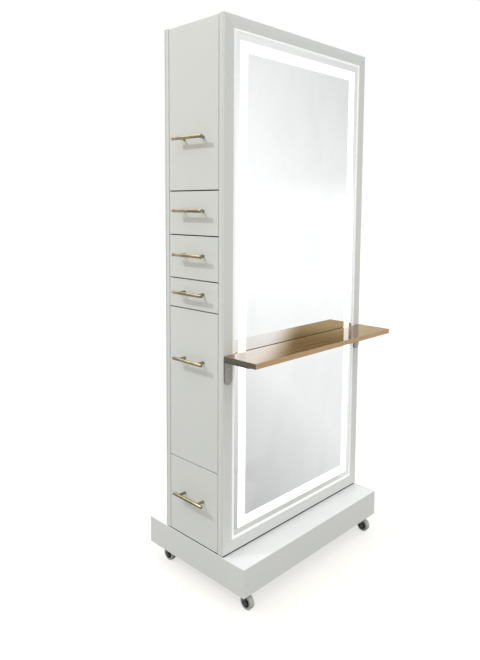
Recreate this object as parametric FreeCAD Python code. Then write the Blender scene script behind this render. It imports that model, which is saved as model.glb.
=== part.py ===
import FreeCAD, Part
import math
import os

# Double-sided salon station: a mirrored cabinet on a castored plinth. Millimetres, +Z up.
# A lit mirror faces -Y (front) and +Y (rear), a wooden shelf crosses the front one, and a column of six
# pull-outs opens at each end, -X (left) and +X (right). The mirror panels are the cabinet's long walls.
# It is modelled about the vertical line through the plinth's middle, so that the rear mirror is the front
# one after half a turn, and the right end is the left end after the same turn. The finished pieces are then
# moved along Y, which puts the origin on the floor under the middle of the whole footprint, shelf included.

Vector = FreeCAD.Vector

# ---- cabinet body ----
body_length = 800.0          # along X
body_height = 1800.0         # from the plinth's top board up
cavity_width = 254.0         # along Y, between the two mirror panels
panel_thickness = 18.0
top_thickness = 18.0
bottom_thickness = 18.0
partition_thickness = 12.0
service_bay = 48.0           # along X, between the two partitions
box_back_gap = 16.0          # from a pull-out's box to the partition behind it
shadow_gap = 4.0             # under the mirror panels and their frames
panel_groove = 2.5           # V-groove where a frame meets its panel's end

# ---- framed mirror with its lit band ----
glass_thickness = 4.0
frame_thickness = 5.0
frame_width = 52.0
bead_width = 9.0             # the frame's inner, rounded lip
bead_rise = 3.0
frame_round = 1.5
border_width = 22.0          # plain glass outside the lit band
band_width = 34.0
glass_gap = 0.3
channel_depth = 8.0
channel_ledge = 5.0          # of the lit band that rests on the panel, each side of the channel
led_width = 10.0
led_thickness = 2.0

# ---- plinth ----
plinth_depth = 500.0
plinth_height = 100.0
plinth_board = 18.0
plinth_round = 2.5

# ---- pull-out fronts, from the second one down; the top one takes what is left of the body's height ----
lower_pitches = [152.0, 152.0, 104.0, 550.0, 286.0]
handle_heights = [175.0, 84.0, 85.0, 58.0, 374.0, 165.0]   # above each front's lower gap line
tall_fronts = [0, 4]
front_thickness = 18.0
front_gap = 4.0              # between one front and the next
front_side_gap = 3.0
front_end_gap = 2.0          # under the body's top
front_foot_gap = 5.0         # over the plinth
front_round = 1.2
front_back_gap = 1.0         # from a front to the boards behind it

# ---- pull-out boxes ----
box_board = 12.0
box_floor = 6.0
box_foot = 6.0               # from a front's lower gap line, or the bottom board, up to its box
box_headroom = 16.0          # from a box up to the front's upper gap line, or to the top board
tray_side_height = 100.0         # lower tray of a tall pull-out
upper_tray_side_height = 80.0
upper_tray_height = 270.0        # from the lower tray's foot to the upper one's

# ---- drawer runners ----
runner_height = 35.0
runner_sheet = 1.2
runner_room = 13.0           # between a box's side and its panel
runner_reach = 10.0          # depth of each runner channel
runner_play = 0.3
runner_setback = 4.0         # behind the front
runner_end_gap = 26.0        # from a runner's end to the end of its box
runner_lift = 12.0           # above the box's foot

# ---- bar handles ----
bar_radius = 6.0
bar_length = 148.0
bar_chamfer = 0.8
post_radius = 4.5
post_spacing = 96.0
post_foot_radius = 6.0
post_foot_height = 2.0
handle_projection = 38.0
handle_shift = 4.0           # from the front's middle towards the shelf's side
post_seat = 2.0              # depth of a post in the bar
post_play = 0.05

# ---- shelf and its brackets ----
shelf_height = 700.0         # top face, above the plinth's top
shelf_depth = 142.0
shelf_thickness = 18.0
shelf_round = 1.5
shelf_clearance = 0.4        # from the frame's bead
bracket_width = 36.0
bracket_sheet = 4.0
bracket_drop = 82.0          # below the shelf's underside
bracket_reach = 118.0
bracket_bend = 5.0
bracket_inset = 21.0         # from the body's end to the bracket's middle
bracket_screw_pitch = 36.0

# ---- screws ----
screw_radius = 2.0
screw_length = 14.0
screw_head_radius = 4.0
screw_head_height = 2.2
screw_head_round = 1.3
screw_play = 0.05
screw_hole_play = 0.4        # in a bracket or caster plate

# ---- casters ----
caster_height = 66.0
caster_inset = 45.0
caster_trail = 20.0
wheel_radius = 25.0
wheel_width = 20.0
hub_radius = 17.0
hub_recess = 4.0
hub_rim = 2.5
hub_boss_radius = 8.0
tyre_round = 3.0
tyre_play = 0.05
axle_radius = 4.0
axle_play = 0.1
axle_head_radius = 6.5
axle_head_height = 2.5
caster_plate_side = 46.0
caster_plate_sheet = 2.5
caster_screw_pitch = 34.0
swivel_boss_radius = 15.0
swivel_boss_height = 3.5
swivel_gap = 0.4
kingpin_radius = 4.0
kingpin_play = 0.1
kingpin_head_radius = 7.0
kingpin_head_height = 2.5
fork_sheet = 2.5
fork_top_radius = 18.0
fork_leg_reach = 13.5        # from the swivel's axis to a leg's edge, under the crown
fork_side_gap = 1.0
fork_boss_radius = 9.0

# ---- light supply ----
driver_length = 160.0
driver_width = 60.0
driver_thickness = 32.0
driver_round = 1.5
driver_height = 900.0               # foot of the lower one, above the plinth's top
driver_pitch = 300.0                # from the lower one up to the upper one
gland_bore_radius = 4.0
gland_barrel_radius = 8.0
gland_flange_radius = 12.0
gland_flange_height = 3.0
gland_nut_height = 5.0
gland_play = 0.05
gland_offset = 150.0                # along Y from the plinth's middle

cut_over = 1.0                      # how far a hole's cutter runs past the face it opens

# ---- places worked out from the sizes ----
plinth_foot = caster_height
plinth_top = plinth_foot + plinth_height
body_top = plinth_top + body_height
half_length = body_length / 2
half_cavity = cavity_width / 2
panel_face = half_cavity + panel_thickness            # the mirror panel's outer face, from the middle
glass_face = panel_face + glass_thickness
frame_face = panel_face + frame_thickness
bead_face = frame_face + bead_rise
panel_foot = plinth_top + shadow_gap
inner_end = half_length - front_thickness - front_back_gap   # where the boards behind the fronts end
shelf_top = plinth_top + shelf_height
shelf_underside = shelf_top - shelf_thickness
shelf_back = bead_face + shelf_clearance
shelf_front = shelf_back + shelf_depth
partition_face = service_bay / 2 + partition_thickness   # the side that faces a pull-out's box
box_length = half_length - front_thickness - box_back_gap - partition_face
box_side = half_cavity - runner_room                  # a box's outer side, from the middle
runner_length = box_length - runner_setback - runner_end_gap
front_pitches = [body_height - sum(lower_pitches)] + lower_pitches
footprint_shift = (shelf_front - plinth_depth / 2) / 2


def block(x0, x1, y0, y1, z0, z1):
    """A box between two corners."""
    return Part.makeBox(x1 - x0, y1 - y0, z1 - z0, Vector(x0, y0, z0))


def rod(radius, start, end):
    """A cylinder from one point to another."""
    axis = end.sub(start)
    return Part.makeCylinder(radius, axis.Length, start, axis)


def half_turn(shape):
    """A copy of the shape, turned half a turn about Z."""
    turned = shape.copy()
    turned.rotate(Vector(0, 0, 0), Vector(0, 0, 1), 180)
    return turned


def moved(shape, x, y, z):
    """A copy of the shape, moved."""
    copy = shape.copy()
    copy.translate(Vector(x, y, z))
    return copy


def both_sides(shapes):
    """The shapes and their copies after half a turn, at the opposite face or end."""
    return list(shapes) + [half_turn(s) for s in shapes]


def round_edges(shape, radius, chosen):
    """Rounds the edges that the given test picks out."""
    edges = [e for e in shape.Edges if chosen(e)]
    return shape.makeFillet(radius, edges)


def lies_on(edge, axis, value):
    """True if the whole edge lies in the plane where that coordinate has that value."""
    box = edge.BoundBox
    low = (box.XMin, box.YMin, box.ZMin)[axis]
    high = (box.XMax, box.YMax, box.ZMax)[axis]
    return abs(low - value) < 1e-4 and abs(high - value) < 1e-4


def prism(points, along):
    """A straight prism: a closed outline of points, extruded along a vector."""
    wire = Part.makePolygon(points + [points[0]])
    return Part.Face(wire).extrude(along)


# ---- framed mirror ----

def frame_lines(inset):
    """Left, right, lower and upper line of the mirror face, that far in from its edge."""
    return -half_length + inset, half_length - inset, panel_foot + inset, body_top - inset


def mitred_outlines(outer_inset, width):
    """Four outlines (x, z) of the mitred strips between two rectangles on the mirror face."""
    x0, x1, z0, z1 = frame_lines(outer_inset)
    a0, a1, c0, c1 = frame_lines(outer_inset + width)
    return {
        "lower": [(x0, z0), (x1, z0), (a1, c0), (a0, c0)],
        "upper": [(x0, z1), (x1, z1), (a1, c1), (a0, c1)],
        "left": [(x0, z0), (x0, z1), (a0, c1), (a0, c0)],
        "right": [(x1, z0), (x1, z1), (a1, c1), (a1, c0)],
    }


def mitred_strips(outer_inset, width, back, face):
    """Four flat mitred strips on the front, from one distance out to another."""
    strips = []
    for outline in mitred_outlines(outer_inset, width).values():
        points = [Vector(x, -back, z) for x, z in outline]
        strips.append(prism(points, Vector(0, back - face, 0)))
    return strips


def frame_profile(place):
    """The frame's section as a face. place(u, h) gives the point that is u in from the edge and h proud."""
    flat_end = frame_width - bead_width
    corner = frame_round * (1 - math.sqrt(0.5))
    arc_outer = Part.Arc(place(0, frame_thickness - frame_round), place(corner, frame_thickness - corner),
                         place(frame_round, frame_thickness))
    arc_bead = Part.Arc(place(flat_end, frame_thickness),
                        place(flat_end + bead_width / 2, frame_thickness + bead_rise),
                        place(frame_width, frame_thickness))
    edges = [
        Part.LineSegment(place(0, 0), place(0, frame_thickness - frame_round)),
        arc_outer,
        Part.LineSegment(place(frame_round, frame_thickness), place(flat_end, frame_thickness)),
        arc_bead,
        Part.LineSegment(place(frame_width, frame_thickness), place(frame_width, 0)),
        Part.LineSegment(place(frame_width, 0), place(0, 0)),
    ]
    return Part.Face(Part.Wire([e.toShape() for e in edges]))


def drilled(shape):
    """The front's shape with holes for the screws of the shelf's brackets."""
    return shape.cut(Part.makeCompound([pilot(*place) for place in wall_screws()])).Solids[0]


def frame_members():
    """Four mitred mouldings round the front mirror."""
    x0, x1, z0, z1 = frame_lines(0)
    placings = {
        "lower": (lambda u, h: Vector(x0, -panel_face - h, z0 + u), Vector(x1 - x0, 0, 0)),
        "upper": (lambda u, h: Vector(x0, -panel_face - h, z1 - u), Vector(x1 - x0, 0, 0)),
        "left": (lambda u, h: Vector(x0 + u, -panel_face - h, z0), Vector(0, 0, z1 - z0)),
        "right": (lambda u, h: Vector(x1 - u, -panel_face - h, z0), Vector(0, 0, z1 - z0)),
    }
    outlines = mitred_outlines(0, frame_width)
    members = []
    for side, (place, along) in placings.items():
        length = frame_profile(place).extrude(along)
        points = [Vector(x, -panel_face, z) for x, z in outlines[side]]
        member = length.common(prism(points, Vector(0, -frame_thickness - bead_rise, 0)))
        members.append(member.Solids[0])
    return members


def mirror_panes():
    """The front's silvered glass: a border of four mitred strips and the middle pane."""
    border = mitred_strips(frame_width + glass_gap, border_width - glass_gap, panel_face, glass_face)
    x0, x1, z0, z1 = frame_lines(frame_width + border_width + band_width + glass_gap)
    return border + [block(x0, x1, -glass_face, -panel_face, z0, z1)]


def light_band():
    """The front's four opal strips, between the mirror's border and its middle pane."""
    inset = frame_width + border_width + glass_gap
    return mitred_strips(inset, band_width - glass_gap, panel_face, glass_face)


def channel_inset():
    """Distance from the mirror face's edge to the light channel's outer wall."""
    return frame_width + border_width + channel_ledge


def ring(outer_inset, width, back, face):
    """A rectangular ring on the front between two insets and two distances out."""
    x0, x1, z0, z1 = frame_lines(outer_inset)
    a0, a1, c0, c1 = frame_lines(outer_inset + width)
    outer = block(x0, x1, -face, -back, z0, z1)
    return outer.cut(block(a0, a1, -face, -back, c0, c1))


def mirror_panel():
    """The board behind the front mirror, with the light channel cut in its face."""
    board = block(-half_length, half_length, -panel_face, -half_cavity, panel_foot, body_top)
    ends = [e for e in board.Edges
            if lies_on(e, 1, -panel_face) and (lies_on(e, 0, -half_length) or lies_on(e, 0, half_length))]
    board = board.makeChamfer(panel_groove, ends)
    channel_width = band_width - 2 * channel_ledge
    channel = ring(channel_inset(), channel_width, panel_face - channel_depth, panel_face)
    return board.cut(channel).Solids[0]


def led_strips():
    """Four light strips on the floor of the front's light channel."""
    floor = panel_face - channel_depth
    inset = channel_inset() + (band_width - 2 * channel_ledge - led_width) / 2
    return mitred_strips(inset, led_width, floor, floor + led_thickness)


# ---- carcass boards ----

def top_panel():
    """The board that closes the body's top, between the mirror panels."""
    return block(-inner_end, inner_end, -half_cavity, half_cavity, body_top - top_thickness, body_top)


def bottom_panel():
    """The board that the body stands on."""
    return block(-inner_end, inner_end, -half_cavity, half_cavity, plinth_top,
                 plinth_top + bottom_thickness)


def partitions():
    """Two upright boards behind the pull-outs, each side of the service bay."""
    low = plinth_top + bottom_thickness
    high = body_top - top_thickness
    board = block(-partition_face, -service_bay / 2, -half_cavity, half_cavity, low, high)
    return both_sides([board])


def light_drivers():
    """The two power supplies of the lights, on the left partition in the service bay."""
    x0 = -service_bay / 2
    x1 = x0 + driver_thickness
    z0 = plinth_top + driver_height
    case = block(x0, x1, -driver_width / 2, driver_width / 2, z0, z0 + driver_length)
    case = round_edges(case, driver_round, lambda e: lies_on(e, 0, x1))
    return [case, moved(case, 0, 0, driver_pitch)]


# ---- plinth ----

def plinth_skirt():
    """Two long boards and two end boards; the right one is drilled for the cable gland."""
    reach = plinth_depth / 2
    inner = half_length - plinth_board
    long_board = block(-half_length, half_length, -reach, -reach + plinth_board, plinth_foot, plinth_top)
    long_board = round_edges(long_board, plinth_round,
                             lambda e: lies_on(e, 1, -reach) and not lies_on(e, 2, plinth_foot))
    end_board = block(-half_length, -inner, -reach + plinth_board, reach - plinth_board,
                      plinth_foot, plinth_top)
    end_board = round_edges(end_board, plinth_round,
                            lambda e: lies_on(e, 0, -half_length) and lies_on(e, 2, plinth_top))
    hole = rod(gland_barrel_radius + gland_play, gland_point(inner - cut_over),
               gland_point(half_length + cut_over))
    return [long_board, half_turn(long_board), end_board, half_turn(end_board).cut(hole).Solids[0]]


def plinth_top_board():
    """The board between the skirt's boards that the body stands on."""
    x, y = half_length - plinth_board, plinth_depth / 2 - plinth_board
    return block(-x, x, -y, y, plinth_top - plinth_board, plinth_top)


def plinth_base_board():
    """The board inside the skirt's foot that carries the casters."""
    x, y = half_length - plinth_board, plinth_depth / 2 - plinth_board
    board = block(-x, x, -y, y, plinth_foot, plinth_foot + plinth_board)
    return board.cut(Part.makeCompound([pilot(*place) for place in caster_screws()])).Solids[0]


def gland_point(x):
    """A point on the cable gland's axis."""
    return Vector(x, gland_offset, plinth_foot + plinth_height / 2)


def cable_gland():
    """The bush that the mains lead enters by: flange, barrel and nut with one bore."""
    inner = half_length - plinth_board
    flange = rod(gland_flange_radius, gland_point(half_length),
                 gland_point(half_length + gland_flange_height))
    barrel = rod(gland_barrel_radius, gland_point(inner), gland_point(half_length))
    nut = rod(gland_flange_radius, gland_point(inner - gland_nut_height), gland_point(inner))
    bore = rod(gland_bore_radius, gland_point(inner - gland_nut_height - cut_over),
               gland_point(half_length + gland_flange_height + cut_over))
    return flange.fuse([barrel, nut]).cut(bore).removeSplitter().Solids[0]


# ---- screws ----

def screw(point, direction):
    """A pan-head screw whose head sits on the point, driven along the direction."""
    shank = rod(screw_radius, point, point + direction * screw_length)
    head = rod(screw_head_radius, point - direction * screw_head_height, point)
    top = point - direction * screw_head_height
    head = round_edges(head, screw_head_round,
                       lambda e: e.BoundBox.Center.distanceToPoint(top) < 1e-3)
    return head.fuse(shank).removeSplitter().Solids[0]


def pilot(point, direction):
    """The hole that a screw at that point needs in what it is driven into."""
    return rod(screw_radius + screw_play, point, point + direction * (screw_length + cut_over))


def clear_hole(point, direction, sheet):
    """The hole for a screw in the sheet that its head holds."""
    return rod(screw_radius + screw_hole_play, point - direction * cut_over,
               point + direction * (sheet + cut_over))


def bracket_centres():
    """X of the two brackets on the front."""
    return [-half_length + bracket_inset, half_length - bracket_inset]


def wall_screws():
    """Point and direction of each screw that holds the front's brackets to the mirror frame."""
    end = shelf_underside - bracket_drop + bracket_width / 2
    face = -frame_face - bracket_sheet
    return [(Vector(x, face, end + k * bracket_screw_pitch), Vector(0, 1, 0))
            for x in bracket_centres() for k in (0, 1)]


def shelf_screws():
    """Point and direction of each screw that holds the front shelf to its brackets."""
    tip = -frame_face - bracket_reach + bracket_width / 2
    return [(Vector(x, tip + k * bracket_screw_pitch, shelf_underside - bracket_sheet), Vector(0, 0, 1))
            for x in bracket_centres() for k in (0, 1)]


def caster_screws():
    """Point and direction of each screw that holds the casters' plates."""
    foot = plinth_foot - caster_plate_sheet
    half = caster_screw_pitch / 2
    return [(Vector(x + i * half, y + j * half, foot), Vector(0, 0, 1))
            for x, y in caster_places().values() for i in (-1, 1) for j in (-1, 1)]


def fixing_screws():
    """Every screw of the brackets and the casters' plates."""
    return [screw(*place) for place in wall_screws() + shelf_screws() + caster_screws()]


# ---- shelf ----

def shelf():
    """The front shelf, a board with eased edges that rests on its two brackets."""
    board = block(-half_length, half_length, -shelf_front, -shelf_back, shelf_underside, shelf_top)
    board = round_edges(board, shelf_round, lambda e: not lies_on(e, 1, -shelf_back))
    return board.cut(Part.makeCompound([pilot(*place) for place in shelf_screws()])).Solids[0]


def bracket(x):
    """An L of flat bar with round ends, on the front's frame and under its shelf."""
    half = bracket_width / 2
    wall = -frame_face
    foot = shelf_underside - bracket_drop
    tip = wall - bracket_reach
    under = shelf_underside - bracket_sheet
    upright = block(x - half, x + half, wall - bracket_sheet, wall, foot + half, shelf_underside)
    upright_end = rod(half, Vector(x, wall, foot + half), Vector(x, wall - bracket_sheet, foot + half))
    arm = block(x - half, x + half, tip + half, wall, under, shelf_underside)
    arm_end = rod(half, Vector(x, tip + half, under), Vector(x, tip + half, shelf_underside))
    bar = upright.fuse([upright_end, arm, arm_end]).removeSplitter()
    bar = round_edges(bar, bracket_bend,
                      lambda e: lies_on(e, 1, wall - bracket_sheet) and lies_on(e, 2, under))
    for point, direction in wall_screws() + shelf_screws():
        if abs(point.x - x) < half:
            bar = bar.cut(clear_hole(point, direction, bracket_sheet))
    return bar.Solids[0]


# ---- pull-outs, built at the left end ----

def front_line(index):
    """Height of the gap line under a front."""
    return plinth_top + sum(front_pitches[index + 1:])


def is_highest(index):
    """True for the pull-out under the top board."""
    return index == 0


def is_lowest(index):
    """True for the pull-out over the bottom board."""
    return index == len(front_pitches) - 1


def front_span(index):
    """Lower and upper edge of a front."""
    line = front_line(index)
    low = line + (front_foot_gap if is_lowest(index) else front_gap / 2)
    high = line + front_pitches[index] - (front_end_gap if is_highest(index) else front_gap / 2)
    return low, high


def drawer_front(index):
    """The lacquered board of one pull-out, its outer edges eased."""
    low, high = front_span(index)
    side = half_cavity - front_side_gap
    board = block(-half_length, -half_length + front_thickness, -side, side, low, high)
    return round_edges(board, front_round, lambda e: lies_on(e, 0, -half_length))


def box_span(index):
    """Foot and top of a pull-out's box, clear of the boards over and under the column."""
    foot = front_line(index) + (bottom_thickness if is_lowest(index) else 0)
    top = front_line(index) + front_pitches[index] - (top_thickness if is_highest(index) else 0)
    return foot + box_foot, top - box_headroom


def tray(x0, x1, foot, height):
    """Two side boards and a floor between an inner front and a back."""
    inner = box_side - box_board
    side = block(x0, x1, -box_side, -inner, foot, foot + height)
    other = block(x0, x1, inner, box_side, foot, foot + height)
    return [side, other, block(x0, x1, -inner, inner, foot, foot + box_floor)]


def drawer_box(index):
    """Inner front, back, sides and floor; a tall pull-out has a second tray above the first."""
    foot, top = box_span(index)
    x0 = -half_length + front_thickness
    x1 = x0 + box_length
    inner_front = block(x0, x0 + box_board, -box_side, box_side, foot, top)
    back = block(x1 - box_board, x1, -box_side, box_side, foot, top)
    boards = [inner_front, back]
    for level, height in tray_levels(index):
        boards += tray(x0 + box_board, x1 - box_board, foot + level, height)
    return boards


def tray_levels(index):
    """Level above the box's foot and side height of each tray in a pull-out."""
    foot, top = box_span(index)
    if index in tall_fronts:
        return [(0, tray_side_height), (upper_tray_height, upper_tray_side_height)]
    return [(0, top - foot)]


def channel_bar(x0, x1, web, tips, low, high):
    """A runner channel: its web at one distance from the middle and its flange tips at another."""
    wall = math.copysign(runner_sheet, tips - web)
    solid = block(x0, x1, min(web, tips), max(web, tips), low, high)
    hollow_start = web + wall
    hollow = block(x0, x1, min(hollow_start, tips), max(hollow_start, tips),
                   low + runner_sheet, high - runner_sheet)
    return solid.cut(hollow).Solids[0]


def runner_spans(index):
    """Lower edge of each runner of one pull-out."""
    foot = box_span(index)[0]
    return [foot + level + runner_lift for level, height in tray_levels(index)]


def cabinet_runners(index):
    """The channels on the mirror panels that carry one pull-out."""
    x0 = -half_length + front_thickness + runner_setback
    x1 = x0 + runner_length
    bars = []
    for low in runner_spans(index):
        for side in (-1, 1):
            bars.append(channel_bar(x0, x1, side * half_cavity, side * (half_cavity - runner_reach),
                                    low, low + runner_height))
    return bars


def drawer_runners(index):
    """The channels on one pull-out's sides, which slide inside the cabinet's."""
    x0 = -half_length + front_thickness + runner_setback
    x1 = x0 + runner_length
    inset = runner_sheet + runner_play
    bars = []
    for low in runner_spans(index):
        for side in (-1, 1):
            bars.append(channel_bar(x0, x1, side * box_side, side * (box_side + runner_reach),
                                    low + inset, low + runner_height - inset))
    return bars


def bar_handle(index):
    """A round bar on two posts with feet, level with its front's handle line."""
    height = front_line(index) + handle_heights[index]
    bar_x = -half_length - handle_projection + bar_radius
    face = Vector(-half_length, -handle_shift, height)
    middle = Vector(bar_x, -handle_shift, height)
    reach = Vector(0, bar_length / 2, 0)
    bar = rod(bar_radius, middle - reach, middle + reach)
    bar = bar.makeChamfer(bar_chamfer, [e for e in bar.Edges if e.isClosed() and e.Length > bar_radius])
    posts = []
    for side in (-1, 1):
        start = face + Vector(0, side * post_spacing / 2, 0)
        end = Vector(bar_x + bar_radius - post_seat, start.y, height)
        foot = rod(post_foot_radius, start, start - Vector(post_foot_height, 0, 0))
        posts.append(foot.fuse(rod(post_radius, start, end)).removeSplitter().Solids[0])
        bar = bar.cut(rod(post_radius + post_play, start, end - Vector(post_play, 0, 0)))
    return [bar.Solids[0]] + posts


# ---- casters ----

def caster_places():
    """Where each caster's swivel stands."""
    x, y = half_length - caster_inset, plinth_depth / 2 - caster_inset
    return {
        "front_left": (-x, -y),
        "front_right": (x, -y),
        "rear_left": (-x, y),
        "rear_right": (x, y),
    }


def caster_plate():
    """A caster's fixed part about the origin: plate, swivel boss and the kingpin with its head."""
    half = caster_plate_side / 2
    underside = plinth_foot - caster_plate_sheet
    plate = block(-half, half, -half, half, underside, plinth_foot)
    plate = round_edges(plate, swivel_boss_height, lambda e: e.BoundBox.ZLength > caster_plate_sheet / 2)
    boss_foot = underside - swivel_boss_height
    boss = rod(swivel_boss_radius, Vector(0, 0, boss_foot), Vector(0, 0, underside))
    head_top = boss_foot - fork_sheet - 2 * swivel_gap
    pin = rod(kingpin_radius, Vector(0, 0, head_top), Vector(0, 0, boss_foot))
    head = rod(kingpin_head_radius, Vector(0, 0, head_top - kingpin_head_height), Vector(0, 0, head_top))
    whole = plate.fuse([boss, pin, head]).removeSplitter()
    pitch = caster_screw_pitch / 2
    for i in (-1, 1):
        for j in (-1, 1):
            place = Vector(i * pitch, j * pitch, underside)
            whole = whole.cut(clear_hole(place, Vector(0, 0, 1), caster_plate_sheet))
    return whole.Solids[0]


def fork_leg(x, top):
    """One leg of a caster's fork, its low face at x: a slanted cheek that ends round the axle."""
    centre = Vector(x, -caster_trail, wheel_radius)
    edge = Vector(x, fork_leg_reach, top)
    slope = edge.sub(centre)
    angle = math.atan2(slope.z, slope.y) - math.acos(fork_boss_radius / slope.Length)
    touch = centre + Vector(0, math.cos(angle), math.sin(angle)) * fork_boss_radius
    far_side = centre - Vector(0, fork_boss_radius, 0)
    cheek = prism([edge, Vector(x, -fork_leg_reach, top), far_side, centre, touch], Vector(fork_sheet, 0, 0))
    return cheek.fuse(rod(fork_boss_radius, centre, centre + Vector(fork_sheet, 0, 0)))


def caster_axle(reach):
    """The axle through a fork whose cheeks reach that far out, riveted over at both ends."""
    centre = Vector(0, -caster_trail, wheel_radius)
    end, tip = Vector(reach, 0, 0), Vector(reach + axle_head_height, 0, 0)
    axle = rod(axle_radius, centre - end, centre + end)
    right_head = rod(axle_head_radius, centre + end, centre + tip)
    left_head = rod(axle_head_radius, centre - tip, centre - end)
    return axle.fuse([right_head, left_head]).removeSplitter().Solids[0]


def caster_fork():
    """A caster's swivelling part about the origin: the pressed fork and its axle."""
    top = plinth_foot - caster_plate_sheet - swivel_boss_height - swivel_gap
    under = top - fork_sheet
    inner = wheel_width / 2 + fork_side_gap
    outer = inner + fork_sheet
    crown = rod(fork_top_radius, Vector(0, 0, under), Vector(0, 0, top))
    crown = crown.common(block(-outer, outer, -fork_top_radius, fork_top_radius, under, top))
    fork = crown.fuse([fork_leg(-outer, top), fork_leg(inner, top)]).removeSplitter()
    fork = fork.cut(rod(kingpin_radius + kingpin_play, Vector(0, 0, under - cut_over),
                        Vector(0, 0, top + cut_over)))
    axle_hole = rod(axle_radius, Vector(-outer - cut_over, -caster_trail, wheel_radius),
                    Vector(outer + cut_over, -caster_trail, wheel_radius))
    return [fork.cut(axle_hole).Solids[0], caster_axle(outer)]


def caster_wheel():
    """A caster's wheel about the origin: a recessed hub and the tyre on it."""
    centre = Vector(0, -caster_trail, wheel_radius)
    half = Vector(wheel_width / 2, 0, 0)
    hub = rod(hub_radius, centre - half, centre + half)
    for side in (-1, 1):
        face = centre + half * side
        floor = face - Vector(side * hub_recess, 0, 0)
        dish = rod(hub_radius - hub_rim, floor, face).cut(rod(hub_boss_radius, floor, face))
        hub = hub.cut(dish)
    hub = hub.cut(rod(axle_radius + axle_play, centre - half, centre + half))
    tyre = rod(wheel_radius, centre - half, centre + half)
    tyre = tyre.makeFillet(tyre_round, [e for e in tyre.Edges if e.isClosed() and e.Length > wheel_radius])
    tyre = tyre.cut(rod(hub_radius + tyre_play, centre - half, centre + half))
    return [hub.Solids[0], tyre.Solids[0]]


def placed(shapes, place):
    """The shapes of a caster, moved from the origin to its place."""
    return [moved(s, place[0], place[1], 0) for s in shapes]


# ---- all the nodes ----

def pull_out_nodes():
    """Left end: a node for each piece of each pull-out. Right end: one node for each pull-out."""
    nodes = {}
    for index in range(len(front_pitches)):
        pieces = {
            "front": [drawer_front(index)],
            "box": drawer_box(index),
            "runners": drawer_runners(index),
            "handle": bar_handle(index),
        }
        name = f"drawer_{index + 1}"
        for piece, solids in pieces.items():
            nodes[f"left_{name}_{piece}"] = solids
        whole = [s for solids in pieces.values() for s in solids]
        nodes[f"right_{name}"] = [half_turn(s) for s in whole]
    return nodes


def caster_nodes():
    """The casters' plates in one node, and a fork and a wheel for each."""
    places = caster_places()
    nodes = {"caster_plates": [moved(caster_plate(), x, y, 0) for x, y in places.values()]}
    for name, place in places.items():
        nodes[f"caster_{name}_fork"] = placed(caster_fork(), place)
        nodes[f"caster_{name}_wheel"] = placed(caster_wheel(), place)
    return nodes


def cabinet_nodes():
    """The body, mirrors, lights, plinth and shelf."""
    panel = mirror_panel()
    frame = frame_members()
    panes = mirror_panes()
    runners = [r for index in range(len(front_pitches)) for r in cabinet_runners(index)]
    return {
        "front_panel": [drilled(panel)],
        "rear_panel": [half_turn(panel)],
        "top_panel": [top_panel()],
        "bottom_panel": [bottom_panel()],
        "partitions": partitions(),
        "front_frame": [drilled(s) for s in frame],
        "rear_frame": [half_turn(s) for s in frame],
        "front_mirror": panes,
        "rear_mirror": [half_turn(s) for s in panes],
        "light_bands": both_sides(light_band()),
        "led_strips": both_sides(led_strips()),
        "light_drivers": light_drivers(),
        "cabinet_runners": both_sides(runners),
        "plinth_skirt": plinth_skirt(),
        "plinth_top_board": [plinth_top_board()],
        "plinth_base_board": [plinth_base_board()],
        "cable_gland": [cable_gland()],
        "shelf": [shelf()],
        "shelf_brackets": [bracket(x) for x in bracket_centres()],
        "fixing_screws": fixing_screws(),
    }


def all_nodes():
    """Every node's name with its solids."""
    return {**cabinet_nodes(), **pull_out_nodes(), **caster_nodes()}


def write(name, solids):
    """Writes one node's STEP file, moved to the footprint's middle."""
    shape = moved(solids[0] if len(solids) == 1 else Part.makeCompound(solids), 0, footprint_shift, 0)
    shape.exportStep(os.path.join("parts", name + ".step"))


def main():
    os.makedirs("parts", exist_ok=True)
    for name, solids in all_nodes().items():
        write(name, solids)
        print(name, len(solids), round(sum(s.Volume for s in solids)))


if __name__ == "__main__":
    main()
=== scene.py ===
"""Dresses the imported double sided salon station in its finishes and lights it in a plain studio.

The lacquered boards, mirrors, shelf, boxes and runners are CAD nodes that keep their shape and get a
finish. The mirror frames, bar handles, screws, shelf brackets, casters and the right-hand pull-outs are
modelled here in more detail and stand for their CAD nodes. All lengths are in metres, in the model's
own frame: X along the length, Y along the depth with the shelf at -Y, Z up from the floor.
"""

from __future__ import annotations

import logging
import math
from dataclasses import dataclass, field
from enum import Enum
from typing import Callable

import bmesh
import bpy
from mathutils import Matrix, Vector

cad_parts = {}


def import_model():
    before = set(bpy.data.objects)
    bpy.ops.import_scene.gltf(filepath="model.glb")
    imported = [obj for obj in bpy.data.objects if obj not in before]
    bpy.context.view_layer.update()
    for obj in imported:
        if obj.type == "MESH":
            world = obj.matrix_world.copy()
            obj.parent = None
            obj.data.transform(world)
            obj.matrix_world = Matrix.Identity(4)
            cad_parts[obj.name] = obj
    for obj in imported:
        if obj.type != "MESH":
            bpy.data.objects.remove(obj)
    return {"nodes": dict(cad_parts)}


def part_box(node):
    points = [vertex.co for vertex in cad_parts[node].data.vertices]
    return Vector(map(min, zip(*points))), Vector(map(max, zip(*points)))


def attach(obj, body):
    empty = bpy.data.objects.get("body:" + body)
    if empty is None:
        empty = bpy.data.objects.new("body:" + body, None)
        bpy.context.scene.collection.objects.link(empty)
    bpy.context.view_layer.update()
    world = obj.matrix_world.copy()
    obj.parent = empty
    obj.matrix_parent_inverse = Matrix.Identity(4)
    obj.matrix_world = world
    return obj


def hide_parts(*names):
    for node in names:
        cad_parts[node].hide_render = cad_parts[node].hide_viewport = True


LOG = logging.getLogger("salon_station")
MM = 0.001
BEAD_RISE = 3 * MM        # of the frame's bead over its flat
NEAR = 0.01 * MM          # how far off its plane a corner may be
DOUBLE = 0.001 * MM       # corners nearer than this are one
SQUARE_ON = 0.99          # the cosine from which a face counts as facing a direction

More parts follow.
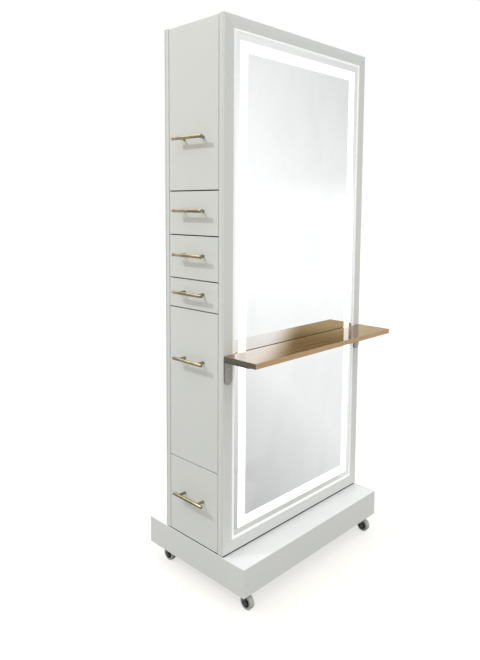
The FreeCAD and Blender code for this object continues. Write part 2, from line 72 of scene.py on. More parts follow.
Point = tuple[float, float, float]
Colour = tuple[float, float, float, float]
WHITE: Colour = (1.0, 1.0, 1.0, 1.0)
Test = Callable[[object], bool]
Outline = tuple[tuple[float, float], ...]


# ---------------------------------------------------------------- choices

class Element(Enum):
    """What an edit-mode step selects."""

    VERTEX = "VERT"
    EDGE = "EDGE"
    FACE = "FACE"


class End(Enum):
    """The end of the cabinet that a column of pull-outs opens at."""

    LEFT = "left"
    RIGHT = "right"


class Axis(Enum):
    """A coordinate axis by its place in a vector."""

    X = 0
    Y = 1
    Z = 2


# ---------------------------------------------------------------- workbench

def make_active(piece: bpy.types.Object) -> None:
    """Selects one object alone and makes it the active one.

    Args:
        piece: The object.
    """
    bpy.ops.object.select_all(action="DESELECT")
    piece.select_set(True)
    bpy.context.view_layer.objects.active = piece


def settled(name: str) -> bpy.types.Object:
    """Names the new primitive and puts its place into its mesh.

    Args:
        name: The piece's name.

    Returns:
        The primitive, at the origin, unturned and unscaled.
    """
    piece = bpy.context.active_object
    piece.name = piece.data.name = name
    make_active(piece)
    bpy.ops.object.transform_apply(location=True, rotation=True, scale=True)
    return piece


def new_block(name: str, low: Point, high: Point) -> bpy.types.Object:
    """Starts a piece from a block between two corners.

    Args:
        name: The piece's name.
        low: The lowest corner.
        high: The highest corner.

    Returns:
        The block.
    """
    a, b = Vector(low), Vector(high)
    bpy.ops.mesh.primitive_cube_add(size=1, location=(a + b) / 2, scale=b - a)
    return settled(name)


def new_rod(name: str, radius: float, start: Point, end: Point, sides: int = 48) -> bpy.types.Object:
    """Starts a piece from a cylinder between two points.

    Args:
        name: The piece's name.
        radius: The cylinder's radius.
        start: The middle of one end.
        end: The middle of the other end.
        sides: How many sides it has.

    Returns:
        The cylinder.
    """
    a, b = Vector(start), Vector(end)
    turn = (b - a).to_track_quat("Z", "Y").to_euler()
    bpy.ops.mesh.primitive_cylinder_add(vertices=sides, radius=radius, depth=(b - a).length,
                                        location=(a + b) / 2, rotation=turn)
    return settled(name)


def shape(piece: bpy.types.Object, kind: Element, chosen: Test, *steps: Callable[[], object]) -> None:
    """Runs edit-mode steps on the elements that a test picks out.

    Args:
        piece: The piece to shape.
        kind: What is selected: vertices, edges or faces.
        chosen: The test of one element.
        steps: The operators to run, one after the other.
    """
    make_active(piece)
    bpy.ops.object.mode_set(mode="EDIT")
    bpy.ops.mesh.select_mode(type=kind.value)
    bpy.ops.mesh.select_all(action="DESELECT")
    mesh = bmesh.from_edit_mesh(piece.data)
    elements = {Element.VERTEX: mesh.verts, Element.EDGE: mesh.edges, Element.FACE: mesh.faces}[kind]
    for element in elements:
        if chosen(element):
            element.select_set(True)
    bmesh.update_edit_mesh(piece.data)
    for step in steps:
        step()
    bpy.ops.object.mode_set(mode="OBJECT")


def everything(element: object) -> bool:
    """A test that picks out all elements."""
    return True


def facing(way: Point) -> Test:
    """A test for faces that face a direction.

    Args:
        way: The direction.

    Returns:
        The test.
    """
    direction = Vector(way).normalized()
    return lambda face: face.normal.dot(direction) > SQUARE_ON


def on_plane(axis: Axis, value: float, tolerance: float = NEAR) -> Test:
    """A test for edges or faces that lie in a plane across an axis.

    Args:
        axis: The axis across the plane.
        value: The plane's coordinate.
        tolerance: How far off a corner may be.

    Returns:
        The test.
    """
    return lambda element: all(abs(v.co[axis.value] - value) < tolerance for v in element.verts)


def both(*tests: Test) -> Test:
    """A test that is met where all the given tests are met."""
    return lambda element: all(test(element) for test in tests)


def extruded(value: Point) -> Callable[[], object]:
    """A step that extrudes the selection along a vector."""
    return lambda: bpy.ops.mesh.extrude_region_move(TRANSFORM_OT_translate={"value": value})


def inset(thickness: float, depth: float = 0.0) -> Callable[[], object]:
    """A step that insets the selected faces and moves them along their normal."""
    return lambda: bpy.ops.mesh.inset(thickness=thickness, depth=depth)


def bevelled(width: float, segments: int) -> Callable[[], object]:
    """A step that rounds the selected edges."""
    return lambda: bpy.ops.mesh.bevel(offset=width, segments=segments, profile=0.5, affect="EDGES")


def resized(value: Point, centre: Point) -> Callable[[], object]:
    """A step that scales the selection about a point."""
    return lambda: bpy.ops.transform.resize(value=value, center_override=centre)


def cut_at(point: Point, normal: Point, clear: bool = False) -> Callable[[], object]:
    """A step that cuts the selection along a plane.

    Args:
        point: A point on the plane.
        normal: The plane's normal.
        clear: True to take away what lies on the normal's side and close the cut.

    Returns:
        The step.
    """
    return lambda: bpy.ops.mesh.bisect(plane_co=point, plane_no=normal, use_fill=clear, clear_outer=clear)


def turned(name: str, outline: list[tuple[float, float]], sides: int = 40) -> bpy.types.Object:
    """Turns a solid about Z, as on a lathe: a disc is extruded up and resized at each step.

    Args:
        name: The piece's name.
        outline: Height and radius of each step, from the lowest up.
        sides: How many sides it has.

    Returns:
        The closed solid.
    """
    height, radius = outline[0]
    bpy.ops.mesh.primitive_circle_add(vertices=sides, radius=radius, fill_type="NGON",
                                      location=(0, 0, height))
    piece = settled(name)
    steps: list[Callable[[], object]] = []
    for next_height, next_radius in outline[1:]:
        ratio = next_radius / radius
        steps += [extruded((0, 0, next_height - height)), resized((ratio, ratio, 1), (0, 0, next_height))]
        height, radius = next_height, next_radius
    shape(piece, Element.FACE, everything, *steps)
    closed_outwards(piece)
    return piece


def profile(shares: Outline, height: float, radius: float) -> list[tuple[float, float]]:
    """A turned piece's outline, from its shares of a height and a radius."""
    return [(up * height, out * radius) for up, out in shares]


def closed_outwards(piece: bpy.types.Object) -> None:
    """Merges a piece's doubles and turns its faces outwards.

    Args:
        piece: The piece, a closed solid.
    """
    shape(piece, Element.FACE, everything,
          lambda: bpy.ops.mesh.remove_doubles(threshold=DOUBLE),
          lambda: bpy.ops.mesh.normals_make_consistent(inside=False))


def smoothed(piece: bpy.types.Object, degrees: float = 32.0) -> bpy.types.Object:
    """Shades a piece smooth, with creases where its faces meet at more than an angle.

    Args:
        piece: The piece.
        degrees: The angle.

    Returns:
        The same piece.
    """
    make_active(piece)
    bpy.ops.object.shade_smooth_by_angle(angle=math.radians(degrees))
    return piece


def eased(piece: bpy.types.Object, width: float, segments: int = 2, degrees: float = 40.0) -> None:
    """Rounds a piece's edges that turn by more than an angle, with an applied Bevel modifier.

    Args:
        piece: The piece.
        width: The rounding's width.
        segments: How many strips the rounding has.
        degrees: The angle.
    """
    make_active(piece)
    modifier = piece.modifiers.new("ease", "BEVEL")
    modifier.width = width
    modifier.segments = segments
    modifier.limit_method = "ANGLE"
    modifier.angle_limit = math.radians(degrees)
    bpy.ops.object.modifier_apply(modifier=modifier.name)


def hollowed(piece: bpy.types.Object, cutter: bpy.types.Object) -> None:
    """Cuts one piece with another.

    Args:
        piece: The piece that is cut.
        cutter: The piece that it is cut with, which is used up.
    """
    make_active(piece)
    modifier = piece.modifiers.new("cut", "BOOLEAN")
    modifier.operation = "DIFFERENCE"
    modifier.solver = "EXACT"
    modifier.object = cutter
    bpy.ops.object.modifier_apply(modifier=modifier.name)
    bpy.data.objects.remove(cutter)


def copied(piece: bpy.types.Object, name: str, move: Matrix) -> bpy.types.Object:
    """Copies a piece with its own mesh, at another place.

    Args:
        piece: The piece to copy.
        name: The copy's name.
        move: Where the copy's mesh goes.

    Returns:
        The copy, its object at the origin.
    """
    copy = bpy.data.objects.new(name, piece.data.copy())
    copy.data.name = name
    bpy.context.scene.collection.objects.link(copy)
    copy.data.transform(move)
    return copy


def joined(name: str, pieces: list[bpy.types.Object]) -> bpy.types.Object:
    """Joins several pieces into one object.

    Args:
        name: The whole's name.
        pieces: Its parts, which are used up.

    Returns:
        The whole.
    """
    make_active(pieces[0])
    for piece in pieces[1:]:
        piece.select_set(True)
    bpy.ops.object.join()
    pieces[0].name = pieces[0].data.name = name
    return pieces[0]


def discarded(*patterns: bpy.types.Object) -> None:
    """Removes the patterns that copies were made from.

    Args:
        patterns: The patterns.
    """
    for pattern in patterns:
        bpy.data.objects.remove(pattern)


def placed_at(point: Point, turn: Matrix | None = None) -> Matrix:
    """The matrix that turns a mesh about the origin and then moves it to a point."""
    return Matrix.Translation(Vector(point)) @ (turn or Matrix.Identity(4))


# ---------------------------------------------------------------- finishes

def linear(code: str) -> Colour:
    """Turns an sRGB hex code into a linear colour.

    Args:
        code: Six hex digits after a hash.

    Returns:
        The colour with an alpha of 1.
    """
    parts = [int(code[i:i + 2], 16) / 255 for i in (1, 3, 5)]
    red, green, blue = [p / 12.92 if p <= 0.04045 else ((p + 0.055) / 1.055) ** 2.4 for p in parts]
    return red, green, blue, 1.0


def per_metre(millimetres: float) -> float:
    """The scale at which a texture's features have a size in millimetres."""
    return 1000.0 / millimetres


def add_node(tree: bpy.types.NodeTree, kind: str, inputs: dict[str | int, object] | None = None,
             **settings: object) -> bpy.types.Node:
    """Adds a node with its settings, and its inputs' values or links.

    Args:
        tree: The node tree.
        kind: The node's type.
        inputs: What goes into each input: a socket to link, or a value.
        settings: The node's own properties.

    Returns:
        The node.
    """
    node = tree.nodes.new(kind)
    for name, value in settings.items():
        setattr(node, name, value)
    for key, value in (inputs or {}).items():
        if isinstance(value, bpy.types.NodeSocket):
            tree.links.new(value, node.inputs[key])
        else:
            node.inputs[key].default_value = value
    return node


@dataclass(frozen=True)
class Ramp:
    """A level that changes evenly while a measured value crosses a range, and stays level beyond it."""

    start: float = 0.0
    end: float = 1.0
    low: float | bpy.types.NodeSocket = 0.0
    high: float | bpy.types.NodeSocket = 1.0

    def of(self, value: bpy.types.NodeSocket) -> dict[str, object]:
        """The inputs of a Map Range node that follows a value.

        Args:
            value: The measured value.

        Returns:
            The inputs, by their names.
        """
        return {"Value": value, "From Min": self.start, "From Max": self.end,
                "To Min": self.low, "To Max": self.high}


@dataclass(frozen=True)
class Finish:
    """A real material's look, and the record's slot that it stands for."""

    name: str
    slot: str

    def material(self) -> bpy.types.Material:
        """Finds the finish's material, or makes it when it is first asked for.

        Returns:
            The material.
        """
        made = bpy.data.materials.get(self.name)
        if made is None:
            made = bpy.data.materials.new(self.name)
            made.use_nodes = True
            tree = made.node_tree
            tree.nodes.clear()
            place = add_node(tree, "ShaderNodeTexCoord").outputs["Object"]
            add_node(tree, "ShaderNodeOutputMaterial", {"Surface": self.shader(tree, place)})
        return made

    def shader(self, tree: bpy.types.NodeTree, place: bpy.types.NodeSocket) -> bpy.types.NodeSocket:
        """Adds the finish's nodes.

        Args:
            tree: The material's node tree.
            place: The object coordinates, in metres.

        Returns:
            The shader's output.
        """
        raise NotImplementedError


@dataclass(frozen=True)
class SprayedLacquer(Finish):
    """Two-part polyurethane lacquer sprayed on fibreboard and left satin.

    It gives soft, slightly rippled reflections (orange peel of about 3 mm) and a white that drifts by a
    percent or two over a board, because no sprayed coat is even. The frames' bead uses it whiter and with
    a faint emission: a painted glow that stands in for the light of the band beside it falling on the bead.
    """

    name: str = "sprayed_satin_lacquer"
    slot: str = "white_lacquer"
    cool: str = "#E3E7E5"
    warm: str = "#E8E9E6"
    drift_mm: float = 260.0
    peel_mm: float = 3.0
    peel_height: float = 0.012 * MM
    roughness: tuple[float, float] = (0.30, 0.40)
    # emission of a coat that is no lamp: a painted glow, used only on the bead
    glow: float = 0.0

    def colour(self, tree: bpy.types.NodeTree, place: bpy.types.NodeSocket,
               drift: bpy.types.NodeSocket) -> bpy.types.NodeSocket:
        """Adds the coat's colour.

        Args:
            tree: The material's node tree.
            place: The object coordinates, in metres.
            drift: The slow noise that the white drifts with.

        Returns:
            The colour's output.
        """
        return add_node(tree, "ShaderNodeMix", {0: drift, 6: linear(self.cool), 7: linear(self.warm)},
                        data_type="RGBA").outputs[2]

    def shader(self, tree: bpy.types.NodeTree, place: bpy.types.NodeSocket) -> bpy.types.NodeSocket:
        """Adds the drifting white, the uneven sheen and the orange peel.

        Args:
            tree: The material's node tree.
            place: The object coordinates, in metres.

        Returns:
            The shader's output.
        """
        drift = add_node(tree, "ShaderNodeTexNoise",
                         {"Vector": place, "Scale": per_metre(self.drift_mm), "Detail": 3.0})
        sheen = add_node(tree, "ShaderNodeMapRange",
                         Ramp(low=self.roughness[0], high=self.roughness[1]).of(drift.outputs[0]))
        peel = add_node(tree, "ShaderNodeTexNoise",
                        {"Vector": place, "Scale": per_metre(self.peel_mm), "Detail": 1.5})
        bump = add_node(tree, "ShaderNodeBump",
                        {"Height": peel.outputs[0], "Distance": self.peel_height, "Strength": 1.0})
        return add_node(tree, "ShaderNodeBsdfPrincipled",
                        {"Base Color": self.colour(tree, place, drift.outputs[0]),
                         "Roughness": sheen.outputs[0], "IOR": 1.5,
                         "Specular IOR Level": 0.4, "Normal": bump.outputs[0],
                         "Emission Color": linear(self.warm),
                         "Emission Strength": self.glow}).outputs[0]


@dataclass(frozen=True)
class GapShadeLacquer(SprayedLacquer):
    """The same lacquer with painted shade: a near-black rectangle where the cabinet stands.

    It shows only as the thin dark line in the joint under the cabinet, darker than the joint's own shadow.
    """

    name: str = "satin_lacquer_painted_gap_shade"
    # near black: painted shade for the joint under the cabinet
    gap_shade: str = "#1E1E1D"
    middle: Point = (0.0, 0.0, 0.0)
    reach: tuple[float, float] = (0.0, 0.0)

    def colour(self, tree: bpy.types.NodeTree, place: bpy.types.NodeSocket,
               drift: bpy.types.NodeSocket) -> bpy.types.NodeSocket:
        """Adds the coat's colour, with painted shade in the rectangle under the cabinet.

        Args:
            tree: The material's node tree.
            place: The object coordinates, in metres.
            drift: The slow noise that the white drifts with.

        Returns:
            The colour's output.
        """
        coat = super().colour(tree, place, drift)
        off = add_node(tree, "ShaderNodeVectorMath", {0: place, 1: self.middle}, operation="SUBTRACT")
        apart = add_node(tree, "ShaderNodeSeparateXYZ",
                         {0: add_node(tree, "ShaderNodeVectorMath", {0: off.outputs[0]},
                                      operation="ABSOLUTE").outputs[0]})
        along, across = [add_node(tree, "ShaderNodeMath", {0: apart.outputs[k], 1: reach},
                                  operation="LESS_THAN").outputs[0]
                         for k, reach in enumerate(self.reach)]
        in_gap_shade = add_node(tree, "ShaderNodeMath", {0: along, 1: across}, operation="MULTIPLY")
        return add_node(tree, "ShaderNodeMix", {0: in_gap_shade.outputs[0], 6: coat, 7: linear(self.gap_shade)},
                        data_type="RGBA").outputs[2]


@dataclass(frozen=True)
class MelamineBoard(Finish):
    """Melamine-faced chipboard, pressed between embossed plates.

    It gives an even, dull white with a pearl texture of about 1 mm that breaks up highlights.
    """

    name: str = "pearl_melamine_board"
    slot: str = "carcass_board"
    base: str = "#E6E6E2"
    speck: str = "#DDDDD8"
    pearl_mm: float = 1.1
    pearl_height: float = 0.03 * MM

    def shader(self, tree: bpy.types.NodeTree, place: bpy.types.NodeSocket) -> bpy.types.NodeSocket:
        """Adds the white with its faint specks and the pearl texture.

        Args:
            tree: The material's node tree.
            place: The object coordinates, in metres.

        Returns:
            The shader's output.
        """
        pearl = add_node(tree, "ShaderNodeTexNoise",
                         {"Vector": place, "Scale": per_metre(self.pearl_mm), "Detail": 2.0})
        colour = add_node(tree, "ShaderNodeMix",
                          {0: pearl.outputs[0], 6: linear(self.base), 7: linear(self.speck)},
                          data_type="RGBA")
        bump = add_node(tree, "ShaderNodeBump",
                        {"Height": pearl.outputs[0], "Distance": self.pearl_height, "Strength": 1.0})
        return add_node(tree, "ShaderNodeBsdfPrincipled",
                        {"Base Color": colour.outputs[2], "Roughness": 0.5, "IOR": 1.5,
                         "Normal": bump.outputs[0]}).outputs[0]


@dataclass(frozen=True)
class OiledOak(Finish):
    """Fumed oak board with its grain along X, planed, oiled and waxed, with a paler edging strip.

    It gives a mid brown with darker growth bands and short pores under a clear, well polished wax that
    mirrors bright things sharply, pale front and back edges, and dark ends, where the end grain drinks the
    oil. The fibres are drawn about four times their real width of 0.6 mm, so that they still show from
    two metres away.
    """

    name: str = "oiled_oak"
    slot: str = "shelf_wood"
    light: str = "#8C6F49"
    dark: str = "#6B5034"
    pore: str = "#453322"
    edging: str = "#CBA878"
    end_grain: str = "#58544A"
    band_mm: float = 22.0
    fibre_mm: float = 2.4
    stretch: float = 0.035
    fibre_height: float = 0.014 * MM
    roughness: tuple[float, float] = (0.04, 0.08)
    tone: Ramp = Ramp(0.6, 1.4)
    pores: Ramp = Ramp(0.40, 0.30, 0.0, 0.4)
    faces: Ramp = Ramp(0.6, 0.9, 0.0, 0.85)

    def facing_part(self, tree: bpy.types.NodeTree, axis: Axis) -> bpy.types.NodeSocket:
        """Adds a factor that is high on the faces that look along an axis.

        Args:
            tree: The material's node tree.
            axis: The axis.

        Returns:
            The factor's output.
        """
        normal = add_node(tree, "ShaderNodeSeparateXYZ",
                          {0: add_node(tree, "ShaderNodeTexCoord").outputs["Normal"]})
        size = add_node(tree, "ShaderNodeMath", {0: normal.outputs[axis.value]}, operation="ABSOLUTE")
        return add_node(tree, "ShaderNodeMapRange", self.faces.of(size.outputs[0])).outputs[0]

    def shader(self, tree: bpy.types.NodeTree, place: bpy.types.NodeSocket) -> bpy.types.NodeSocket:
        """Adds growth bands, fibres, pores, the edging, dark ends and the waxed sheen.

        Args:
            tree: The material's node tree.
            place: The object coordinates, in metres.

        Returns:
            The shader's output.
        """
        along = add_node(tree, "ShaderNodeMapping", {"Vector": place, "Scale": (self.stretch, 1, 1)})
        bands = add_node(tree, "ShaderNodeTexNoise",
                         {"Vector": along.outputs[0], "Scale": per_metre(self.band_mm), "Detail": 3.0,
                          "Distortion": 0.6})
        fibres = add_node(tree, "ShaderNodeTexNoise",
                          {"Vector": along.outputs[0], "Scale": per_metre(self.fibre_mm), "Detail": 3.0})
        mixed = add_node(tree, "ShaderNodeMath", {0: bands.outputs[0], 1: fibres.outputs[0]},
                         operation="ADD")
        tone = add_node(tree, "ShaderNodeMapRange", self.tone.of(mixed.outputs[0]))
        wood = add_node(tree, "ShaderNodeMix",
                        {0: tone.outputs[0], 6: linear(self.dark), 7: linear(self.light)},
                        data_type="RGBA")
        edged = add_node(tree, "ShaderNodeMix",
                         {0: self.facing_part(tree, Axis.Y), 6: wood.outputs[2],
                          7: linear(self.edging)}, data_type="RGBA")
        pores = add_node(tree, "ShaderNodeMapRange", self.pores.of(fibres.outputs[0]))
        grained = add_node(tree, "ShaderNodeMix",
                           {0: pores.outputs[0], 6: edged.outputs[2], 7: linear(self.pore)},
                           data_type="RGBA")
        colour = add_node(tree, "ShaderNodeMix",
                          {0: self.facing_part(tree, Axis.X), 6: grained.outputs[2],
                           7: linear(self.end_grain)}, data_type="RGBA")
        gloss = add_node(tree, "ShaderNodeMapRange",
                         Ramp(low=self.roughness[1], high=self.roughness[0]).of(fibres.outputs[0]))
        bump = add_node(tree, "ShaderNodeBump",
                        {"Height": fibres.outputs[0], "Distance": self.fibre_height, "Strength": 1.0})
        return add_node(tree, "ShaderNodeBsdfPrincipled",
                        {"Base Color": colour.outputs[2], "Roughness": gloss.outputs[0], "IOR": 1.47,
                         "Normal": bump.outputs[0]}).outputs[0]


@dataclass(frozen=True)
class SilveredMirror(Finish):
    """Float glass, silvered behind: a sharp image with nine tenths of the light and a trace of green.

    Faint wiping marks make the reflection a little duller here and there.
    """

    name: str = "silvered_float_glass"
    slot: str = "mirror_glass"
    tint: str = "#F5F6F6"
    wiped: str = "#F1F3F3"
    wipe_mm: float = 90.0
    stretch: Point = (1, 1, 0.4)
    marks: Ramp = Ramp(0.45, 0.75)

    def shader(self, tree: bpy.types.NodeTree, place: bpy.types.NodeSocket) -> bpy.types.NodeSocket:
        """Adds the silver and the wiping marks.

        Args:
            tree: The material's node tree.
            place: The object coordinates, in metres.

        Returns:
            The shader's output.
        """
        along = add_node(tree, "ShaderNodeMapping", {"Vector": place, "Scale": self.stretch})
        wipes = add_node(tree, "ShaderNodeTexNoise",
                         {"Vector": along.outputs[0], "Scale": per_metre(self.wipe_mm), "Detail": 3.0})
        marks = add_node(tree, "ShaderNodeMapRange", self.marks.of(wipes.outputs[0]))
        silver = add_node(tree, "ShaderNodeMix",
                          {0: marks.outputs[0], 6: linear(self.tint), 7: linear(self.wiped)},
                          data_type="RGBA")
        return add_node(tree, "ShaderNodeBsdfPrincipled",
                        {"Base Color": silver.outputs[2], "Metallic": 1.0, "Roughness": 0.0}).outputs[0]


@dataclass(frozen=True)
class LitOpalGlass(Finish):
    """The mirror's etched band, lit from behind by light tape.

    It glows an even cool white; the tape's lamps, about 17 mm apart, leave a barely visible ripple.
    """

    name: str = "lit_opal_glass"
    slot: str = "opal_glass"
    bright: str = "#FFFFFF"
    faint: str = "#F3F7FA"
    glass: str = "#F5F7F5"
    ripple_mm: float = 17.0
    glow: float = 1.6

    def shader(self, tree: bpy.types.NodeTree, place: bpy.types.NodeSocket) -> bpy.types.NodeSocket:
        """Adds the glow and its ripple.

        Args:
            tree: The material's node tree.
            place: The object coordinates, in metres.

        Returns:
            The shader's output.
        """
        ripple = add_node(tree, "ShaderNodeTexNoise",
                          {"Vector": place, "Scale": per_metre(self.ripple_mm), "Detail": 1.0})
        colour = add_node(tree, "ShaderNodeMix",
                          {0: ripple.outputs[0], 6: linear(self.bright), 7: linear(self.faint)},
                          data_type="RGBA")
        return add_node(tree, "ShaderNodeBsdfPrincipled",
                        {"Base Color": linear(self.glass), "Roughness": 0.35, "IOR": 1.5,
                         "Emission Color": colour.outputs[2],
                         "Emission Strength": self.glow}).outputs[0]


@dataclass(frozen=True)
class LightTape(Finish):
    """Flexible light tape: a matt white strip with a yellow phosphor dot every 17 mm."""

    name: str = "white_light_tape"
    slot: str = "led_strip"
    strip: str = "#F2F0E6"
    dot: str = "#E8CF5A"
    pitch_mm: float = 17.0
    dot_edge: Ramp = Ramp(0.22, 0.12)

    def shader(self, tree: bpy.types.NodeTree, place: bpy.types.NodeSocket) -> bpy.types.NodeSocket:
        """Adds the strip and its dots.

        Args:
            tree: The material's node tree.
            place: The object coordinates, in metres.

        Returns:
            The shader's output.
        """
        cells = add_node(tree, "ShaderNodeTexVoronoi",
                         {"Vector": place, "Scale": per_metre(self.pitch_mm), "Randomness": 0.0})
        dots = add_node(tree, "ShaderNodeMapRange", self.dot_edge.of(cells.outputs["Distance"]))
        colour = add_node(tree, "ShaderNodeMix",
                          {0: dots.outputs[0], 6: linear(self.strip), 7: linear(self.dot)},
                          data_type="RGBA")
        return add_node(tree, "ShaderNodeBsdfPrincipled",
                        {"Base Color": colour.outputs[2], "Roughness": 0.55,
                         "Emission Color": colour.outputs[2], "Emission Strength": 0.8}).outputs[0]


@dataclass(frozen=True)
class BrushedMetal(Finish):
    """Metal rubbed with fine abrasive along one axis and left unpolished.

    The fine lines stretch highlights across them; they are drawn about three times their real width,
    so that they still show.
    """

    name: str = "satin_brass"
    slot: str = "brass"
    light: str = "#B6AD92"
    dark: str = "#776E55"
    line_mm: float = 0.8
    stretch: Point = (1, 0.03, 1)
    line_height: float = 0.012 * MM
    touch_mm: float = 35.0
    tone: Ramp = Ramp(0.1, 0.4)
    roughness: tuple[float, float] = (0.16, 0.26)

    def shader(self, tree: bpy.types.NodeTree, place: bpy.types.NodeSocket) -> bpy.types.NodeSocket:
        """Adds the metal, its lines and a slow change of tone from handling.

        Args:
            tree: The material's node tree.
            place: The object coordinates, in metres.

        Returns:
            The shader's output.
        """
        along = add_node(tree, "ShaderNodeMapping", {"Vector": place, "Scale": self.stretch})
        lines = add_node(tree, "ShaderNodeTexNoise",
                         {"Vector": along.outputs[0], "Scale": per_metre(self.line_mm), "Detail": 2.0})
        touch = add_node(tree, "ShaderNodeTexNoise",
                         {"Vector": place, "Scale": per_metre(self.touch_mm), "Detail": 2.0})
        mixed = add_node(tree, "ShaderNodeMath", {0: lines.outputs[0], 1: touch.outputs[0]},
                         operation="MULTIPLY")
        tone = add_node(tree, "ShaderNodeMapRange", self.tone.of(mixed.outputs[0]))
        colour = add_node(tree, "ShaderNodeMix",
                          {0: tone.outputs[0], 6: linear(self.dark), 7: linear(self.light)},
                          data_type="RGBA")
        rough = add_node(tree, "ShaderNodeMapRange",
                         Ramp(low=self.roughness[0], high=self.roughness[1]).of(lines.outputs[0]))
        bump = add_node(tree, "ShaderNodeBump",
                        {"Height": lines.outputs[0], "Distance": self.line_height, "Strength": 1.0})
        return add_node(tree, "ShaderNodeBsdfPrincipled",
                        {"Base Color": colour.outputs[2], "Metallic": 1.0, "Roughness": rough.outputs[0],
                         "Normal": bump.outputs[0]}).outputs[0]


@dataclass(frozen=True)
class ZincPlate(Finish):
    """Pressed mild steel, zinc-plated: a cool grey metal, cloudy in patches of a few millimetres."""

    name: str = "zinc_plated_steel"
    slot: str = "zinc_steel"
    light: str = "#CFD2D3"
    dark: str = "#A7ABAE"
    cloud_mm: float = 7.0
    roughness: tuple[float, float] = (0.28, 0.46)

    def shader(self, tree: bpy.types.NodeTree, place: bpy.types.NodeSocket) -> bpy.types.NodeSocket:
        """Adds the clouded zinc.

        Args:
            tree: The material's node tree.
            place: The object coordinates, in metres.

        Returns:
            The shader's output.
        """
        clouds = add_node(tree, "ShaderNodeTexNoise",
                          {"Vector": place, "Scale": per_metre(self.cloud_mm), "Detail": 4.0})
        colour = add_node(tree, "ShaderNodeMix",
                          {0: clouds.outputs[0], 6: linear(self.dark), 7: linear(self.light)},
                          data_type="RGBA")
        rough = add_node(tree, "ShaderNodeMapRange",
                         Ramp(low=self.roughness[1], high=self.roughness[0]).of(clouds.outputs[0]))
        return add_node(tree, "ShaderNodeBsdfPrincipled",
                        {"Base Color": colour.outputs[2], "Metallic": 1.0,
                         "Roughness": rough.outputs[0]}).outputs[0]


@dataclass(frozen=True)
class TexturedSkin(Finish):
    """A coat or moulding with a fine pebbled skin: powder coat, rubber, or moulded plastic.

    The pebbles are drawn about twice their real size of half a millimetre, so that they still show.
    """

    name: str = "grey_powder_coat"
    slot: str = "bracket_steel"
    base: str = "#B6B4B0"
    low: str = "#A4A29E"
    pebble_mm: float = 1.1
    pebble_height: float = 0.05 * MM
    tone: Ramp = Ramp(0.35, 0.65)
    roughness: float = 0.48

    def shader(self, tree: bpy.types.NodeTree, place: bpy.types.NodeSocket) -> bpy.types.NodeSocket:
        """Adds the colour, darker between the pebbles, and their bumps.

        Args:
            tree: The material's node tree.
            place: The object coordinates, in metres.

        Returns:
            The shader's output.
        """
        pebbles = add_node(tree, "ShaderNodeTexNoise",
                           {"Vector": place, "Scale": per_metre(self.pebble_mm), "Detail": 2.0})
        tone = add_node(tree, "ShaderNodeMapRange", self.tone.of(pebbles.outputs[0]))
        colour = add_node(tree, "ShaderNodeMix",
                          {0: tone.outputs[0], 6: linear(self.low), 7: linear(self.base)},
                          data_type="RGBA")
        bump = add_node(tree, "ShaderNodeBump",
                        {"Height": pebbles.outputs[0], "Distance": self.pebble_height, "Strength": 1.0})
        return add_node(tree, "ShaderNodeBsdfPrincipled",
                        {"Base Color": colour.outputs[2], "Roughness": self.roughness,
                         "Normal": bump.outputs[0]}).outputs[0]


LACQUER = SprayedLacquer()
# the bead: whiter, with a painted glow standing in for the band's light on it (painted highlight)
BEAD = SprayedLacquer(name="bead_with_painted_glow", cool="#F3F6F5", warm="#F6F7F5", roughness=(0.18, 0.26),
                      glow=0.25)
CARCASS = MelamineBoard()
BOX_BOARD = MelamineBoard(name="white_box_board", slot="box_board", base="#E2E0D9", speck="#D6D3CB",
                          pearl_mm=1.6)
WOOD = OiledOak()
MIRROR = SilveredMirror()
OPAL = LitOpalGlass()
TAPE = LightTape()
BRASS = BrushedMetal()
ALUMINIUM = BrushedMetal(name="plain_aluminium", slot="driver_case", light="#D2D3D4", dark="#B4B6B8",
                         stretch=(1, 1, 0.04), roughness=(0.35, 0.5))
ZINC = ZincPlate()
DARK_ZINC = ZincPlate(name="dark_zinc_plated_steel", light="#85878A", dark="#4C4E50", cloud_mm=5.0)
POWDER_COAT = TexturedSkin(base="#BEBCB8", low="#ACAAA6")
# a darker grey for the brackets' side and edge faces
DARKER_RIM = TexturedSkin(name="darker_bracket_rim", base="#5E5C59", low="#4E4C4A",
                            roughness=0.6)
RUBBER = TexturedSkin(name="light_grey_rubber", slot="caster_rubber", base="#C6C6C3", low="#B2B2AF",
                      pebble_mm=1.6, pebble_height=0.06 * MM, roughness=0.72)
HUB = TexturedSkin(name="dark_grey_moulded_hub", slot="caster_rubber", base="#4A4B4C", low="#3C3D3E",
                   pebble_mm=1.4, pebble_height=0.02 * MM, roughness=0.45)
BLACK_PLASTIC = TexturedSkin(name="matt_black_polyamide", slot="black_plastic", base="#232324",
                             low="#19191A", pebble_mm=1.0, pebble_height=0.03 * MM, roughness=0.55)


# ---------------------------------------------------------------- the station

